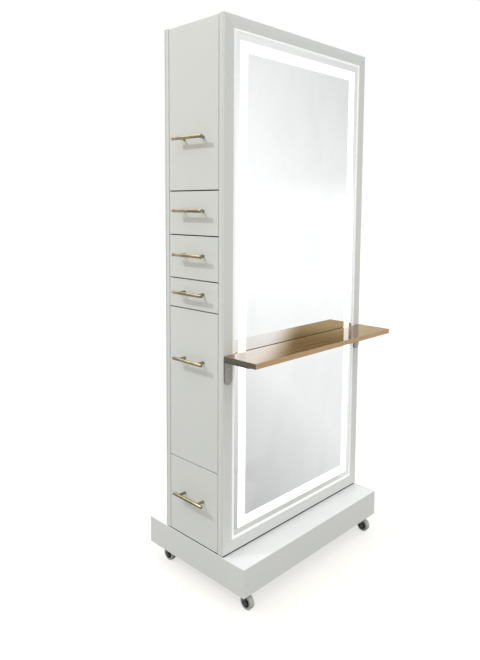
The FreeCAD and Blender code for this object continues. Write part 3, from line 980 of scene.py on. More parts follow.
@dataclass
class Station:
    """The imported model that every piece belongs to."""

    nodes: dict[str, bpy.types.Object]
    half_turn: Matrix = field(init=False)
    pull_outs: int = field(init=False)

    def __post_init__(self) -> None:
        """Works out the half turn between the two faces from the mirror panels' places."""
        front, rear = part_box("front_panel")[0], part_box("rear_panel")[1]
        middle = Matrix.Translation(Vector((0, (front.y + rear.y) / 2, 0)))
        self.half_turn = middle @ Matrix.Rotation(math.pi, 4, "Z") @ middle.inverted()
        self.pull_outs = sum(1 for name in self.nodes if name.startswith("left_drawer_")
                             and name.endswith("_front"))

    def dress(self, finish: Finish, *names: str) -> None:
        """Gives CAD nodes their finish, with their shape as it is.

        Args:
            finish: The finish.
            names: The CAD nodes.
        """
        for name in names:
            node = self.nodes[name]
            if not node.material_slots:
                node.data.materials.append(None)
            for slot in node.material_slots:
                slot.material = finish.material()
            LOG.info("dressed %s in %s", name, finish.name)

    def mount(self, piece: bpy.types.Object, finish: Finish, body: str, *nodes: str) -> bpy.types.Object:
        """Gives a modelled piece its body and its finish.

        Args:
            piece: The piece; it keeps materials that it already has.
            finish: The finish of a piece that has none.
            body: The CAD body that it moves with.
            nodes: The CAD nodes that it stands for.

        Returns:
            The piece.
        """
        if not [m for m in piece.data.materials if m]:
            piece.data.materials.clear()
            piece.data.materials.append(finish.material())
        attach(piece, body)
        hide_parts(*nodes)
        LOG.info("mounted %s on %s in %s", piece.name, body, finish.name)
        return piece

    def node_copy(self, node: str, name: str, move: Matrix) -> bpy.types.Object:
        """Copies a CAD node's shape to another place.

        Args:
            node: The CAD node.
            name: The copy's name.
            move: Where the copy's mesh goes.

        Returns:
            The copy, merged, with no materials.
        """
        copy = copied(self.nodes[node], name, move)
        copy.data.materials.clear()
        make_active(copy)
        bpy.ops.mesh.customdata_custom_splitnormals_clear()
        shape(copy, Element.FACE, everything, lambda: bpy.ops.mesh.remove_doubles(threshold=DOUBLE))
        return smoothed(copy)


@dataclass
class Cabinet:
    """The white body: mirror panels, boards, runners and the light supply."""

    station: Station

    def build(self) -> None:
        """Dresses the body's CAD nodes."""
        self.station.dress(LACQUER, "front_panel", "rear_panel", "top_panel")
        self.station.dress(CARCASS, "bottom_panel", "partitions")
        self.station.dress(ZINC, "cabinet_runners")
        self.station.dress(ALUMINIUM, "light_drivers")


@dataclass
class Plinth:
    """The wider box under the body, on its casters."""

    station: Station
    gap_shade_inset: float = 2.6 * MM
    frame_inset: float = 0.5 * MM

    def build(self) -> None:
        """Dresses the plinth's CAD nodes, with painted shade under the cabinet."""
        low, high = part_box("front_frame")[0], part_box("rear_frame")[1]
        middle, half = (low + high) / 2, (high - low) / 2
        # the rectangle under the cabinet is painted near black as shade for the joint
        coat = GapShadeLacquer(middle=(middle.x, middle.y, 0.0),
                             reach=(half.x - self.gap_shade_inset, half.y - BEAD_RISE - self.frame_inset))
        self.station.dress(coat, "plinth_skirt", "plinth_top_board")
        self.station.dress(CARCASS, "plinth_base_board")
        self.station.dress(BLACK_PLASTIC, "cable_gland")


@dataclass
class LitMirror:
    """The framed mirror with its lit band, on both faces of the cabinet.

    The frame's flat is lacquered and its inner bead is a whiter lacquer with a painted glow.
    """

    station: Station
    frame_width: float = 52 * MM
    frame_thickness: float = 5 * MM
    bead_width: float = 9 * MM
    bead_rise: float = BEAD_RISE
    bead_round: float = 2.8 * MM
    bead_edge: float = 0.05 * MM
    edge_round: float = 1.5 * MM
    mitre_ease: float = 0.3 * MM

    def moulding(self, name: str, length: float) -> bpy.types.Object:
        """Models one straight moulding of the frame, mitred at both ends.

        Args:
            name: The moulding's name.
            length: Its length at the outer edge.

        Returns:
            The moulding, along X from the origin, its bead at the top and its face towards -Y.
        """
        bead_foot = self.frame_width - self.bead_width
        face = -self.frame_thickness
        bar = new_block(name, (0, face, 0), (length, 0, self.frame_width))
        shape(bar, Element.FACE, everything, cut_at((0, 0, bead_foot), (0, 0, 1)))
        shape(bar, Element.FACE, both(facing((0, -1, 0)), lambda f: f.calc_center_median().z > bead_foot),
              extruded((0, -self.bead_rise, 0)))
        shape(bar, Element.EDGE,
              both(on_plane(Axis.Y, face - self.bead_rise),
                   lambda e: abs((e.verts[0].co - e.verts[1].co).x) > 0),
              bevelled(self.bead_round, 5))
        shape(bar, Element.EDGE, both(on_plane(Axis.Y, face), on_plane(Axis.Z, 0)),
              bevelled(self.edge_round, 3))
        shape(bar, Element.FACE, everything, cut_at((0, 0, 0), (-1, 0, 1), True))
        shape(bar, Element.FACE, everything, cut_at((length, 0, 0), (1, 0, 1), True))
        shape(bar, Element.EDGE,
              lambda e: e.calc_length() > 0 and all(
                  v.co.y < -self.mitre_ease
                  and min(abs(v.co.x - v.co.z), abs(length - v.co.x - v.co.z)) < NEAR
                  for v in e.verts),
              bevelled(self.mitre_ease, 1))
        # the bead's faces take the whiter lacquer with the painted glow
        for finish in (LACQUER, BEAD):
            bar.data.materials.append(finish.material())
        for polygon in bar.data.polygons:
            polygon.material_index = int(polygon.center.z > bead_foot - self.bead_edge)
        return smoothed(bar)

    def frame(self, name: str, low: Vector, high: Vector) -> bpy.types.Object:
        """Joins four mouldings into the front's frame.

        Args:
            name: The frame's name.
            low: The lowest corner of the frame's box.
            high: The highest corner of the frame's box.

        Returns:
            The frame.
        """
        across = self.moulding("moulding_across", high.x - low.x)
        upright = self.moulding("moulding_upright", high.z - low.z)
        back = high.y
        placings = [
            (across, (low.x, back, low.z), 0),
            (upright, (high.x, back, low.z), -90),
            (across, (high.x, back, high.z), 180),
            (upright, (low.x, back, high.z), 90),
        ]
        members = [copied(pattern, f"{name}_{turn % 360}",
                          placed_at(corner, Matrix.Rotation(math.radians(turn), 4, "Y")))
                   for pattern, corner, turn in placings]
        discarded(across, upright)
        return joined(name, members)

    def build(self) -> None:
        """Models the two frames and dresses the mirrors, bands and light tape."""
        front = self.frame("front_frame_mouldings", *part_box("front_frame"))
        rear = copied(front, "rear_frame_mouldings", self.station.half_turn)
        self.station.mount(front, LACQUER, "cabinet", "front_frame")
        self.station.mount(rear, LACQUER, "cabinet", "rear_frame")
        self.station.dress(MIRROR, "front_mirror", "rear_mirror")
        self.station.dress(OPAL, "light_bands")
        self.station.dress(TAPE, "led_strips")


@dataclass
class FixingScrew:
    """A pan-head screw with a cross recess, and the places where one is driven."""

    station: Station
    head_radius: float = 4 * MM
    head_height: float = 2.2 * MM
    shank_radius: float = 2 * MM
    shank_length: float = 14 * MM
    slot_width: float = 0.9 * MM
    slot_length: float = 4.4 * MM
    slot_depth: float = 1.3 * MM
    shank_seat: float = 0.2     # of the head's height: how deep the shank reaches into the head
    head_profile: Outline = ((0, 0.94), (0.12, 1), (0.42, 1), (0.68, 0.93), (0.88, 0.78), (1, 0.55))

    def pattern(self) -> bpy.types.Object:
        """Models one screw: its head stands on the origin, towards +Z.

        Returns:
            The screw.
        """
        h = self.head_height
        head = turned("screw_pattern", profile(self.head_profile, h, self.head_radius), 24)
        arms = []
        for turn in (0.0, math.pi / 2):
            size = Vector((self.slot_length / 2, self.slot_width / 2, 0))
            arm = new_block("recess", tuple(-size + Vector((0, 0, h - self.slot_depth))),
                            tuple(size + Vector((0, 0, h + self.slot_depth))))
            arm.data.transform(Matrix.Rotation(turn, 4, "Z"))
            arms.append(arm)
        for arm in arms:
            hollowed(head, arm)
        shank = new_rod("shank", self.shank_radius, (0, 0, -self.shank_length),
                        (0, 0, self.shank_seat * h), 12)
        return smoothed(joined("screw_pattern", [head, shank]))

    def places(self) -> list[Matrix]:
        """Where each screw sits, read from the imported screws.

        Returns:
            A matrix for each screw, which turns the pattern's head outwards.
        """
        mesh = bmesh.new()
        mesh.from_mesh(self.station.nodes["fixing_screws"].data)
        bmesh.ops.remove_doubles(mesh, verts=mesh.verts, dist=DOUBLE)
        waiting, found = set(mesh.verts), []
        while waiting:
            stack = [waiting.pop()]
            island = list(stack)
            while stack:
                for edge in stack.pop().link_edges:
                    for vertex in edge.verts:
                        if vertex in waiting:
                            waiting.remove(vertex)
                            stack.append(vertex)
                            island.append(vertex)
            low = Vector([min(v.co[i] for v in island) for i in range(3)])
            high = Vector([max(v.co[i] for v in island) for i in range(3)])
            middle = (low + high) / 2
            if high.y - low.y > high.z - low.z:
                seat, turn = Vector((middle.x, low.y + self.head_height, middle.z)), math.pi / 2
            else:
                seat, turn = Vector((middle.x, middle.y, low.z + self.head_height)), math.pi
            found.append(placed_at(tuple(seat), Matrix.Rotation(turn, 4, "X")))
        mesh.free()
        return found

    def build(self) -> None:
        """Models one screw and copies it to every place."""
        pattern = self.pattern()
        screws = [copied(pattern, f"screw_{k}", place) for k, place in enumerate(self.places())]
        discarded(pattern)
        self.station.mount(joined("pan_head_screws", screws), ZINC, "cabinet", "fixing_screws")


@dataclass
class Shelf:
    """The front's wooden shelf on its two bent brackets."""

    station: Station
    bracket_width: float = 36 * MM
    sheet: float = 4 * MM
    bend: float = 5 * MM
    rim: float = 0.5 * MM
    end_segments: int = 10
    end_share: float = 0.995    # of half the width, so that an end's two roundings don't meet
    rim_cosine: float = 0.7

    def bracket(self, name: str, low: Vector, high: Vector) -> bpy.types.Object:
        """Models one bracket: flat bar, bent once, its two ends rounded and its rim faces darker.

        Args:
            name: The bracket's name.
            low: The lowest corner of its box.
            high: The highest corner of its box.

        Returns:
            The bracket.
        """
        wall, under = high.y - self.sheet, high.z - self.sheet
        half = (high.x - low.x) / 2
        bar = new_block(name, (low.x, wall, low.z), tuple(high))
        shape(bar, Element.FACE, everything, cut_at((0, 0, under), (0, 0, 1)))
        shape(bar, Element.FACE, both(facing((0, -1, 0)), lambda f: f.calc_center_median().z > under),
              extruded((0, low.y - wall, 0)))
        shape(bar, Element.EDGE, both(on_plane(Axis.Y, wall), on_plane(Axis.Z, under)),
              bevelled(self.bend, 6))
        for side in (low.x, high.x):
            for end in (on_plane(Axis.Z, low.z), on_plane(Axis.Y, low.y)):
                shape(bar, Element.EDGE, both(on_plane(Axis.X, side), end),
                      bevelled(half * self.end_share, self.end_segments))
        eased(bar, self.rim)
        for finish in (POWDER_COAT, DARKER_RIM):
            bar.data.materials.append(finish.material())
        for polygon in bar.data.polygons:
            on_wall = polygon.center.z < under - self.bend
            flat = abs(polygon.normal.y if on_wall else polygon.normal.z)
            bent = polygon.center.y > wall - self.bend and not on_wall
            polygon.material_index = int(abs(polygon.normal.x) > self.rim_cosine
                                         or (flat < self.rim_cosine and not bent))
        return smoothed(bar)

    def build(self) -> None:
        """Dresses the shelf and models its brackets."""
        self.station.dress(WOOD, "shelf")
        low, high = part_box("shelf_brackets")
        width = Vector((self.bracket_width, 0, 0))
        first = self.bracket("left_bracket", low, Vector((low.x + width.x, high.y, high.z)))
        second = copied(first, "right_bracket", placed_at((high.x - low.x - width.x, 0, 0)))
        self.station.mount(joined("bent_brackets", [first, second]), POWDER_COAT, "cabinet",
                           "shelf_brackets")


@dataclass
class BarHandle:
    """A round bar on two turned posts."""

    bar_radius: float = 6 * MM
    bar_length: float = 148 * MM
    bar_end_round: float = 1.1 * MM
    post_radius: float = 4.5 * MM
    post_spacing: float = 96 * MM
    foot_radius: float = 6 * MM
    foot_height: float = 2 * MM
    foot_profile: Outline = ((0, 0.96), (0.2, 1), (0.8, 1), (1, 0.94))
    cove_profile: Outline = ((1.05, 1.1), (1.6, 1))     # shares of the foot's height and post's radius
    collar_share: float = 1.06  # the collar's radius, as a share of the post's
    collar_drop: float = 0.6    # of the foot's height: how far below the bar the collar is full
    projection: float = 38 * MM
    end_dish: tuple[float, float] = (0.5 * MM, -0.25 * MM)
    seat: float = 0.4           # of the bar's radius: how deep a post reaches into the bar

    def post(self) -> bpy.types.Object:
        """Models one post along Z, its foot at the origin: a foot disc, a cove, the stem and a collar.

        Returns:
            The post.
        """
        r, h = self.post_radius, self.foot_height
        top = self.projection - self.bar_radius - self.seat * self.bar_radius
        neck = self.projection - 2 * self.bar_radius
        collar = self.collar_share * r
        outline = [*profile(self.foot_profile, h, self.foot_radius), *profile(self.cove_profile, h, r),
                   (neck - h, r), (neck - self.collar_drop * h, collar), (top, collar)]
        return turned("post", outline)

    def pattern(self) -> bpy.types.Object:
        """Models the handle on the plane x = 0, towards -X, its bar along Y.

        Returns:
            The handle.
        """
        x, half = self.bar_radius - self.projection, self.bar_length / 2
        bar = new_rod("bar", self.bar_radius, (x, -half, 0), (x, half, 0), 48)
        for side in (-1, 1):
            shape(bar, Element.EDGE, on_plane(Axis.Y, side * half), bevelled(self.bar_end_round, 3))
            shape(bar, Element.FACE, facing((0, side, 0)), inset(*self.end_dish))
        post = self.post()
        turn = Matrix.Rotation(-math.pi / 2, 4, "Y")
        posts = [copied(post, f"post_{k}", placed_at((0, side * self.post_spacing / 2, 0), turn))
                 for k, side in enumerate((-1, 1))]
        discarded(post)
        return smoothed(joined("handle_pattern", [bar, *posts]))


@dataclass
class PullOuts:
    """The two columns of pull-outs, one at each end of the cabinet."""

    station: Station
    handle: BarHandle = field(default_factory=BarHandle)

    def handle_place(self, number: int) -> Matrix:
        """Where a left pull-out's handle goes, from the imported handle's box."""
        low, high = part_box(f"left_drawer_{number}_handle")
        return placed_at((high.x, (low.y + high.y) / 2, (low.z + high.z) / 2))

    def left(self, number: int, pattern: bpy.types.Object) -> None:
        """Dresses a left pull-out and gives it its handle.

        Args:
            number: The pull-out's number, from the top.
            pattern: The handle to copy.
        """
        stem = f"left_drawer_{number}"
        self.station.dress(LACQUER, f"{stem}_front")
        self.station.dress(BOX_BOARD, f"{stem}_box")
        self.station.dress(ZINC, f"{stem}_runners")
        handle = copied(pattern, f"{stem}_bar_handle", self.handle_place(number))
        self.station.mount(handle, BRASS, f"{End.LEFT.value}_pull_out_{number}", f"{stem}_handle")

    def right(self, number: int, pattern: bpy.types.Object) -> None:
        """Makes a right pull-out from the left one's pieces, half a turn round.

        Args:
            number: The pull-out's number, from the top.
            pattern: The handle to copy.
        """
        node, stem = f"right_drawer_{number}", f"left_drawer_{number}"
        body = f"{End.RIGHT.value}_pull_out_{number}"
        turn = self.station.half_turn
        for part, finish in (("front", LACQUER), ("box", BOX_BOARD), ("runners", ZINC)):
            copy = self.station.node_copy(f"{stem}_{part}", f"{node}_{part}", turn)
            self.station.mount(copy, finish, body, node)
        handle = copied(pattern, f"{node}_bar_handle", turn @ self.handle_place(number))
        self.station.mount(handle, BRASS, body, node)

    def build(self) -> None:
        """Builds all the pull-outs from one handle."""
        pattern = self.handle.pattern()
        for number in range(1, self.station.pull_outs + 1):
            self.left(number, pattern)
            self.right(number, pattern)
        discarded(pattern)


@dataclass
class Casters:
    """Four swivel casters: a screwed plate, a pressed fork and a wheel each."""

    station: Station
    names: tuple[str, ...] = ("front_left", "front_right", "rear_left", "rear_right")
    height: float = 66 * MM
    trail: float = 20 * MM
    plate_side: float = 46 * MM
    plate_sheet: float = 2.5 * MM
    plate_corner: float = 4 * MM
    plate_rim: float = 0.4 * MM
    boss_radius: float = 15 * MM
    boss_height: float = 3.5 * MM
    boss_profile: Outline = ((-1, 0.82), (-0.75, 0.97), (-0.5, 1), (-0.3, 0.97), (-0.2, 0.9), (0, 1))
    pin_head_radius: float = 7 * MM
    pin_head_height: float = 2.5 * MM
    pin_head_profile: Outline = ((-1, 0.657), (-0.8, 0.914), (-0.4, 1), (0, 1))
    swivel_gap: float = 0.4 * MM
    fork_sheet: float = 2.5 * MM
    fork_half_width: float = 13.5 * MM
    fork_reach: float = 17 * MM
    cheek_round: float = 9 * MM
    cheek_tip: float = 0.35     # the tip's share of the width above it
    crown_round: float = 2.2 * MM
    crown_edge: float = 1.2 * MM
    fork_rim: float = 0.35 * MM
    axle_radius: float = 4 * MM
    axle_head_radius: float = 6.5 * MM
    axle_head_height: float = 2.5 * MM
    axle_head_rim: float = 0.5 * MM
    wheel_radius: float = 25 * MM
    wheel_width: float = 20 * MM
    tyre_round: float = 3.2 * MM
    hub_radius: float = 17 * MM
    hub_rim: float = 2.4 * MM
    hub_recess: float = 3.6 * MM
    hub_boss_radius: float = 7.5 * MM
    hub_boss_rise: float = 0.3 * MM
    hub_draft: float = 0.5 * MM         # how far the recess's wall slopes in
    boss_draft: float = 0.4 * MM
    groove_width: float = 0.25 * MM     # half the groove between tyre and hub
    groove_depth: float = 0.5 * MM
    wheel_sides: int = 72
    ribs: int = 6
    rib_steps: float = 1.5              # of the wheel's sides
    rib_height: float = 0.7             # of the recess's depth

    def plate(self) -> bpy.types.Object:
        """Models a caster's plate with its swivel race and kingpin, over the origin.

        Returns:
            The plate.
        """
        half, top = self.plate_side / 2, self.height
        foot = top - self.plate_sheet
        plate = new_block("plate", (-half, -half, foot), (half, half, top))
        shape(plate, Element.EDGE, lambda e: abs(e.verts[0].co.z - e.verts[1].co.z) > self.plate_sheet / 2,
              bevelled(self.plate_corner, 5))
        eased(plate, self.plate_rim)
        race = turned("race", profile(self.boss_profile, self.boss_height, self.boss_radius))
        race.data.transform(placed_at((0, 0, foot)))
        neck = foot - self.boss_height
        pin_foot = neck - self.fork_sheet - 2 * self.swivel_gap
        pin = new_rod("pin", self.axle_radius, (0, 0, pin_foot), (0, 0, neck), 24)
        head = turned("pin_head", profile(self.pin_head_profile, self.pin_head_height,
                                          self.pin_head_radius), 32)
        head.data.transform(placed_at((0, 0, pin_foot)))
        return smoothed(joined("plate_pattern", [plate, race, pin, head]))

    def fork(self) -> bpy.types.Object:
        """Models a caster's fork: a crown with two cheeks pressed down to the axle.

        Returns:
            The fork with its axle.
        """
        top = self.height - self.plate_sheet - self.boss_height - self.swivel_gap
        under = top - self.fork_sheet
        outer, reach = self.fork_half_width, self.fork_reach
        inner = outer - self.fork_sheet
        axle = (0, -self.trail, self.wheel_radius)
        fork = new_block("fork", (-outer, -reach, under), (outer, reach, top))
        shape(fork, Element.FACE, everything, cut_at((-inner, 0, 0), (1, 0, 0)))
        shape(fork, Element.FACE, everything, cut_at((inner, 0, 0), (1, 0, 0)))
        squeeze = self.cheek_round / reach
        low = self.cheek_round / math.sqrt(2)
        shape(fork, Element.FACE,
              both(facing((0, 0, -1)), lambda f: abs(f.calc_center_median().x) > inner),
              extruded((0, -self.trail, self.wheel_radius - under)), resized((1, squeeze, 1), axle),
              extruded((0, 0, -low)), resized((1, 1 / math.sqrt(2), 1), axle),
              extruded((0, 0, low - self.cheek_round)), resized((1, self.cheek_tip, 1), axle))
        shape(fork, Element.EDGE,
              lambda e: on_plane(Axis.Z, top)(e) and any(on_plane(Axis.X, x)(e) for x in (outer, -outer)),
              bevelled(self.crown_round, 4))
        shape(fork, Element.EDGE,
              lambda e: on_plane(Axis.Z, top)(e) and any(on_plane(Axis.Y, y)(e) for y in (reach, -reach)),
              bevelled(self.crown_edge, 2))
        eased(fork, self.fork_rim)
        centre = Vector(axle)
        reach_out = Vector((outer, 0, 0))
        tip = Vector((outer + self.axle_head_height, 0, 0))
        pin = new_rod("axle", self.axle_radius, tuple(centre - reach_out), tuple(centre + reach_out), 24)
        heads = []
        for side in (-1, 1):
            head = new_rod(f"axle_head_{side}", self.axle_head_radius, tuple(centre + side * reach_out),
                           tuple(centre + side * tip), 6)
            eased(head, self.axle_head_rim)
            heads.append(head)
        return smoothed(joined("fork_pattern", [fork, pin, *heads]))

    def wheel(self) -> bpy.types.Object:
        """Models a caster's wheel: a rounded tyre on a ribbed hub.

        Returns:
            The wheel.
        """
        half = self.wheel_width / 2
        wheel = new_rod("wheel", self.wheel_radius, (-half, 0, 0), (half, 0, 0), self.wheel_sides)
        side_width = self.wheel_radius - self.tyre_round - self.hub_radius
        floor = self.hub_radius - self.hub_rim
        groove, draft = self.groove_width, self.hub_draft
        for side in (-1, 1):
            shape(wheel, Element.EDGE, on_plane(Axis.X, side * half), bevelled(self.tyre_round, 4))
            shape(wheel, Element.FACE, both(facing((side, 0, 0)), on_plane(Axis.X, side * half)),
                  inset(side_width), inset(groove, -self.groove_depth), inset(groove, self.groove_depth),
                  inset(self.hub_rim - 2 * groove), inset(draft, -self.hub_recess),
                  inset(floor - draft - self.hub_boss_radius - self.boss_draft),
                  inset(self.boss_draft, self.hub_recess), inset(draft, self.hub_boss_rise))
            shape(wheel, Element.FACE, self.is_rib(side, half - self.hub_recess),
                  extruded((side * self.hub_recess * self.rib_height, 0, 0)))
        for finish in (RUBBER, HUB):
            wheel.data.materials.append(finish.material())
        for polygon in wheel.data.polygons:
            distance = math.hypot(polygon.center.y, polygon.center.z)
            polygon.material_index = int(distance <= self.hub_radius - groove / 2)
        wheel.data.transform(placed_at((0, -self.trail, self.wheel_radius)))
        return smoothed(wheel)

    def is_rib(self, side: int, level: float) -> Test:
        """A test for the faces of the hub's floor that are raised into ribs.

        Args:
            side: Which side of the wheel.
            level: The floor's distance from the wheel's middle.

        Returns:
            The test.
        """
        def test(face: bmesh.types.BMFace) -> bool:
            """Tells whether one face is part of a rib.

            Args:
                face: The face.

            Returns:
                True where it is.
            """
            centre = face.calc_center_median()
            if abs(centre.x - side * level) > NEAR or abs(face.normal.x) < SQUARE_ON:
                return False
            angle = math.degrees(math.atan2(centre.z, centre.y)) % (360 / self.ribs)
            return angle < 360 / self.wheel_sides * self.rib_steps
        return test

    def build(self) -> None:
        """Models one caster and copies it to the four corners."""
        plate, fork, wheel = self.plate(), self.fork(), self.wheel()
        plates = []
        for name in self.names:
            low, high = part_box(f"caster_{name}_wheel")
            place = placed_at(((low.x + high.x) / 2, (low.y + high.y) / 2 + self.trail, 0))
            plates.append(copied(plate, f"plate_{name}", place))
            self.station.mount(copied(fork, f"{name}_pressed_fork", place), DARK_ZINC, f"{name}_swivel",
                               f"caster_{name}_fork")
            self.station.mount(copied(wheel, f"{name}_tyred_wheel", place), RUBBER, f"{name}_wheel",
                               f"caster_{name}_wheel")
        self.station.mount(joined("screwed_plates", plates), ZINC, "cabinet", "caster_plates")
        discarded(plate, fork, wheel)


# ---------------------------------------------------------------- studio

@dataclass(frozen=True)
class StudioFloor(Finish):
    """A matt white floor.

    It is white to the camera and keeps the shadow. To glossy rays it is neutral and grows paler with
    distance and towards the lamp's side, as a lit studio floor does. Behind the station's drawer end it
    lies in shade, which the brass and the lacquer show and the mirrors don't.
    """

    name: str = "matt_studio_floor"
    slot: str = ""
    albedo: str = "#B1AFA6"
    mirrored: str = "#B2B3B3"
    shade: str = "#4A4A4A"
    camera_glow: float = 0.64
    lamp_side: Point = (0.85, 0.53, 0.0)
    side: Ramp = Ramp(-0.3, 0.6, 0.11, 0.48)
    front: Ramp = Ramp(2.2, 6.0, 0.11, 0.48)
    far: Ramp = Ramp(2.0, 8.0, 0.0, 0.16)
    shade_along: Ramp = Ramp(-0.45, -1.1)
    shade_across: Ramp = Ramp(-0.2, 0.2)
    shade_end: Ramp = Ramp(2.0, 3.5, 1.0, 0.0)

    def shader(self, tree: bpy.types.NodeTree, place: bpy.types.NodeSocket) -> bpy.types.NodeSocket:
        """Adds the matt floor and what the camera and the mirrors see besides.

        Args:
            tree: The material's node tree.
            place: The object coordinates, in metres.

        Returns:
            The shader's output.
        """
        rays = add_node(tree, "ShaderNodeLightPath").outputs
        where = add_node(tree, "ShaderNodeSeparateXYZ", {0: place}).outputs
        lampwards = add_node(tree, "ShaderNodeVectorMath", {0: place, 1: self.lamp_side},
                             operation="DOT_PRODUCT").outputs["Value"]
        distance = add_node(tree, "ShaderNodeVectorMath", {0: place}, operation="LENGTH").outputs["Value"]
        side, front, far, along, across, end = [
            add_node(tree, "ShaderNodeMapRange", ramp.of(value)).outputs[0]
            for ramp, value in ((self.side, lampwards), (self.front, distance), (self.far, distance),
                                (self.shade_along, where["X"]), (self.shade_across, where["Y"]),
                                (self.shade_end, distance))]
        paler = add_node(tree, "ShaderNodeMath", {0: side, 1: front}, operation="MAXIMUM")
        mirrored = add_node(tree, "ShaderNodeMath", {0: paler.outputs[0], 1: far}, operation="ADD")
        seen = add_node(tree, "ShaderNodeMath", {0: rays["Is Camera Ray"], 1: self.camera_glow},
                        operation="MULTIPLY")
        glow = add_node(tree, "ShaderNodeMath",
                        {0: rays["Is Glossy Ray"], 1: mirrored.outputs[0], 2: seen.outputs[0]},
                        operation="MULTIPLY_ADD")
        behind = add_node(tree, "ShaderNodeMath", {0: across, 1: rays["Is Singular Ray"]},
                          operation="SUBTRACT", use_clamp=True)
        corner = add_node(tree, "ShaderNodeMath", {0: along, 1: behind.outputs[0]}, operation="MULTIPLY")
        shaded = add_node(tree, "ShaderNodeMath", {0: corner.outputs[0], 1: end}, operation="MULTIPLY")
        image = add_node(tree, "ShaderNodeMix",
                         {0: shaded.outputs[0], 6: linear(self.mirrored), 7: linear(self.shade)},
                         data_type="RGBA")
        colour = add_node(tree, "ShaderNodeMix",
                          {0: rays["Is Glossy Ray"], 6: linear(self.albedo), 7: image.outputs[2]},
                          data_type="RGBA")
        matt = add_node(tree, "ShaderNodeBsdfDiffuse", {"Color": colour.outputs[2]})
        light = add_node(tree, "ShaderNodeEmission", {"Color": WHITE, "Strength": glow.outputs[0]})
        return add_node(tree, "ShaderNodeAddShader",
                        {0: matt.outputs[0], 1: light.outputs[0]}).outputs[0]


@dataclass(frozen=True)
class Lamp:
    """A square studio lamp: where it stands, what it is turned to, its side and its power in watts."""

    name: str
    place: Point
    target: Point
    side: float
    watts: float

    def build(self) -> None:
        """Adds the lamp, unseen by the camera itself."""
        light = bpy.data.lights.new(self.name, "AREA")
        light.shape, light.size, light.energy = "SQUARE", self.side, self.watts
        lamp = bpy.data.objects.new(self.name, light)
        lamp.location = self.place
        lamp.rotation_euler = (Vector(self.place) - Vector(self.target)).to_track_quat("Z", "Y").to_euler()
        lamp.visible_camera = False
        bpy.context.scene.collection.objects.link(lamp)


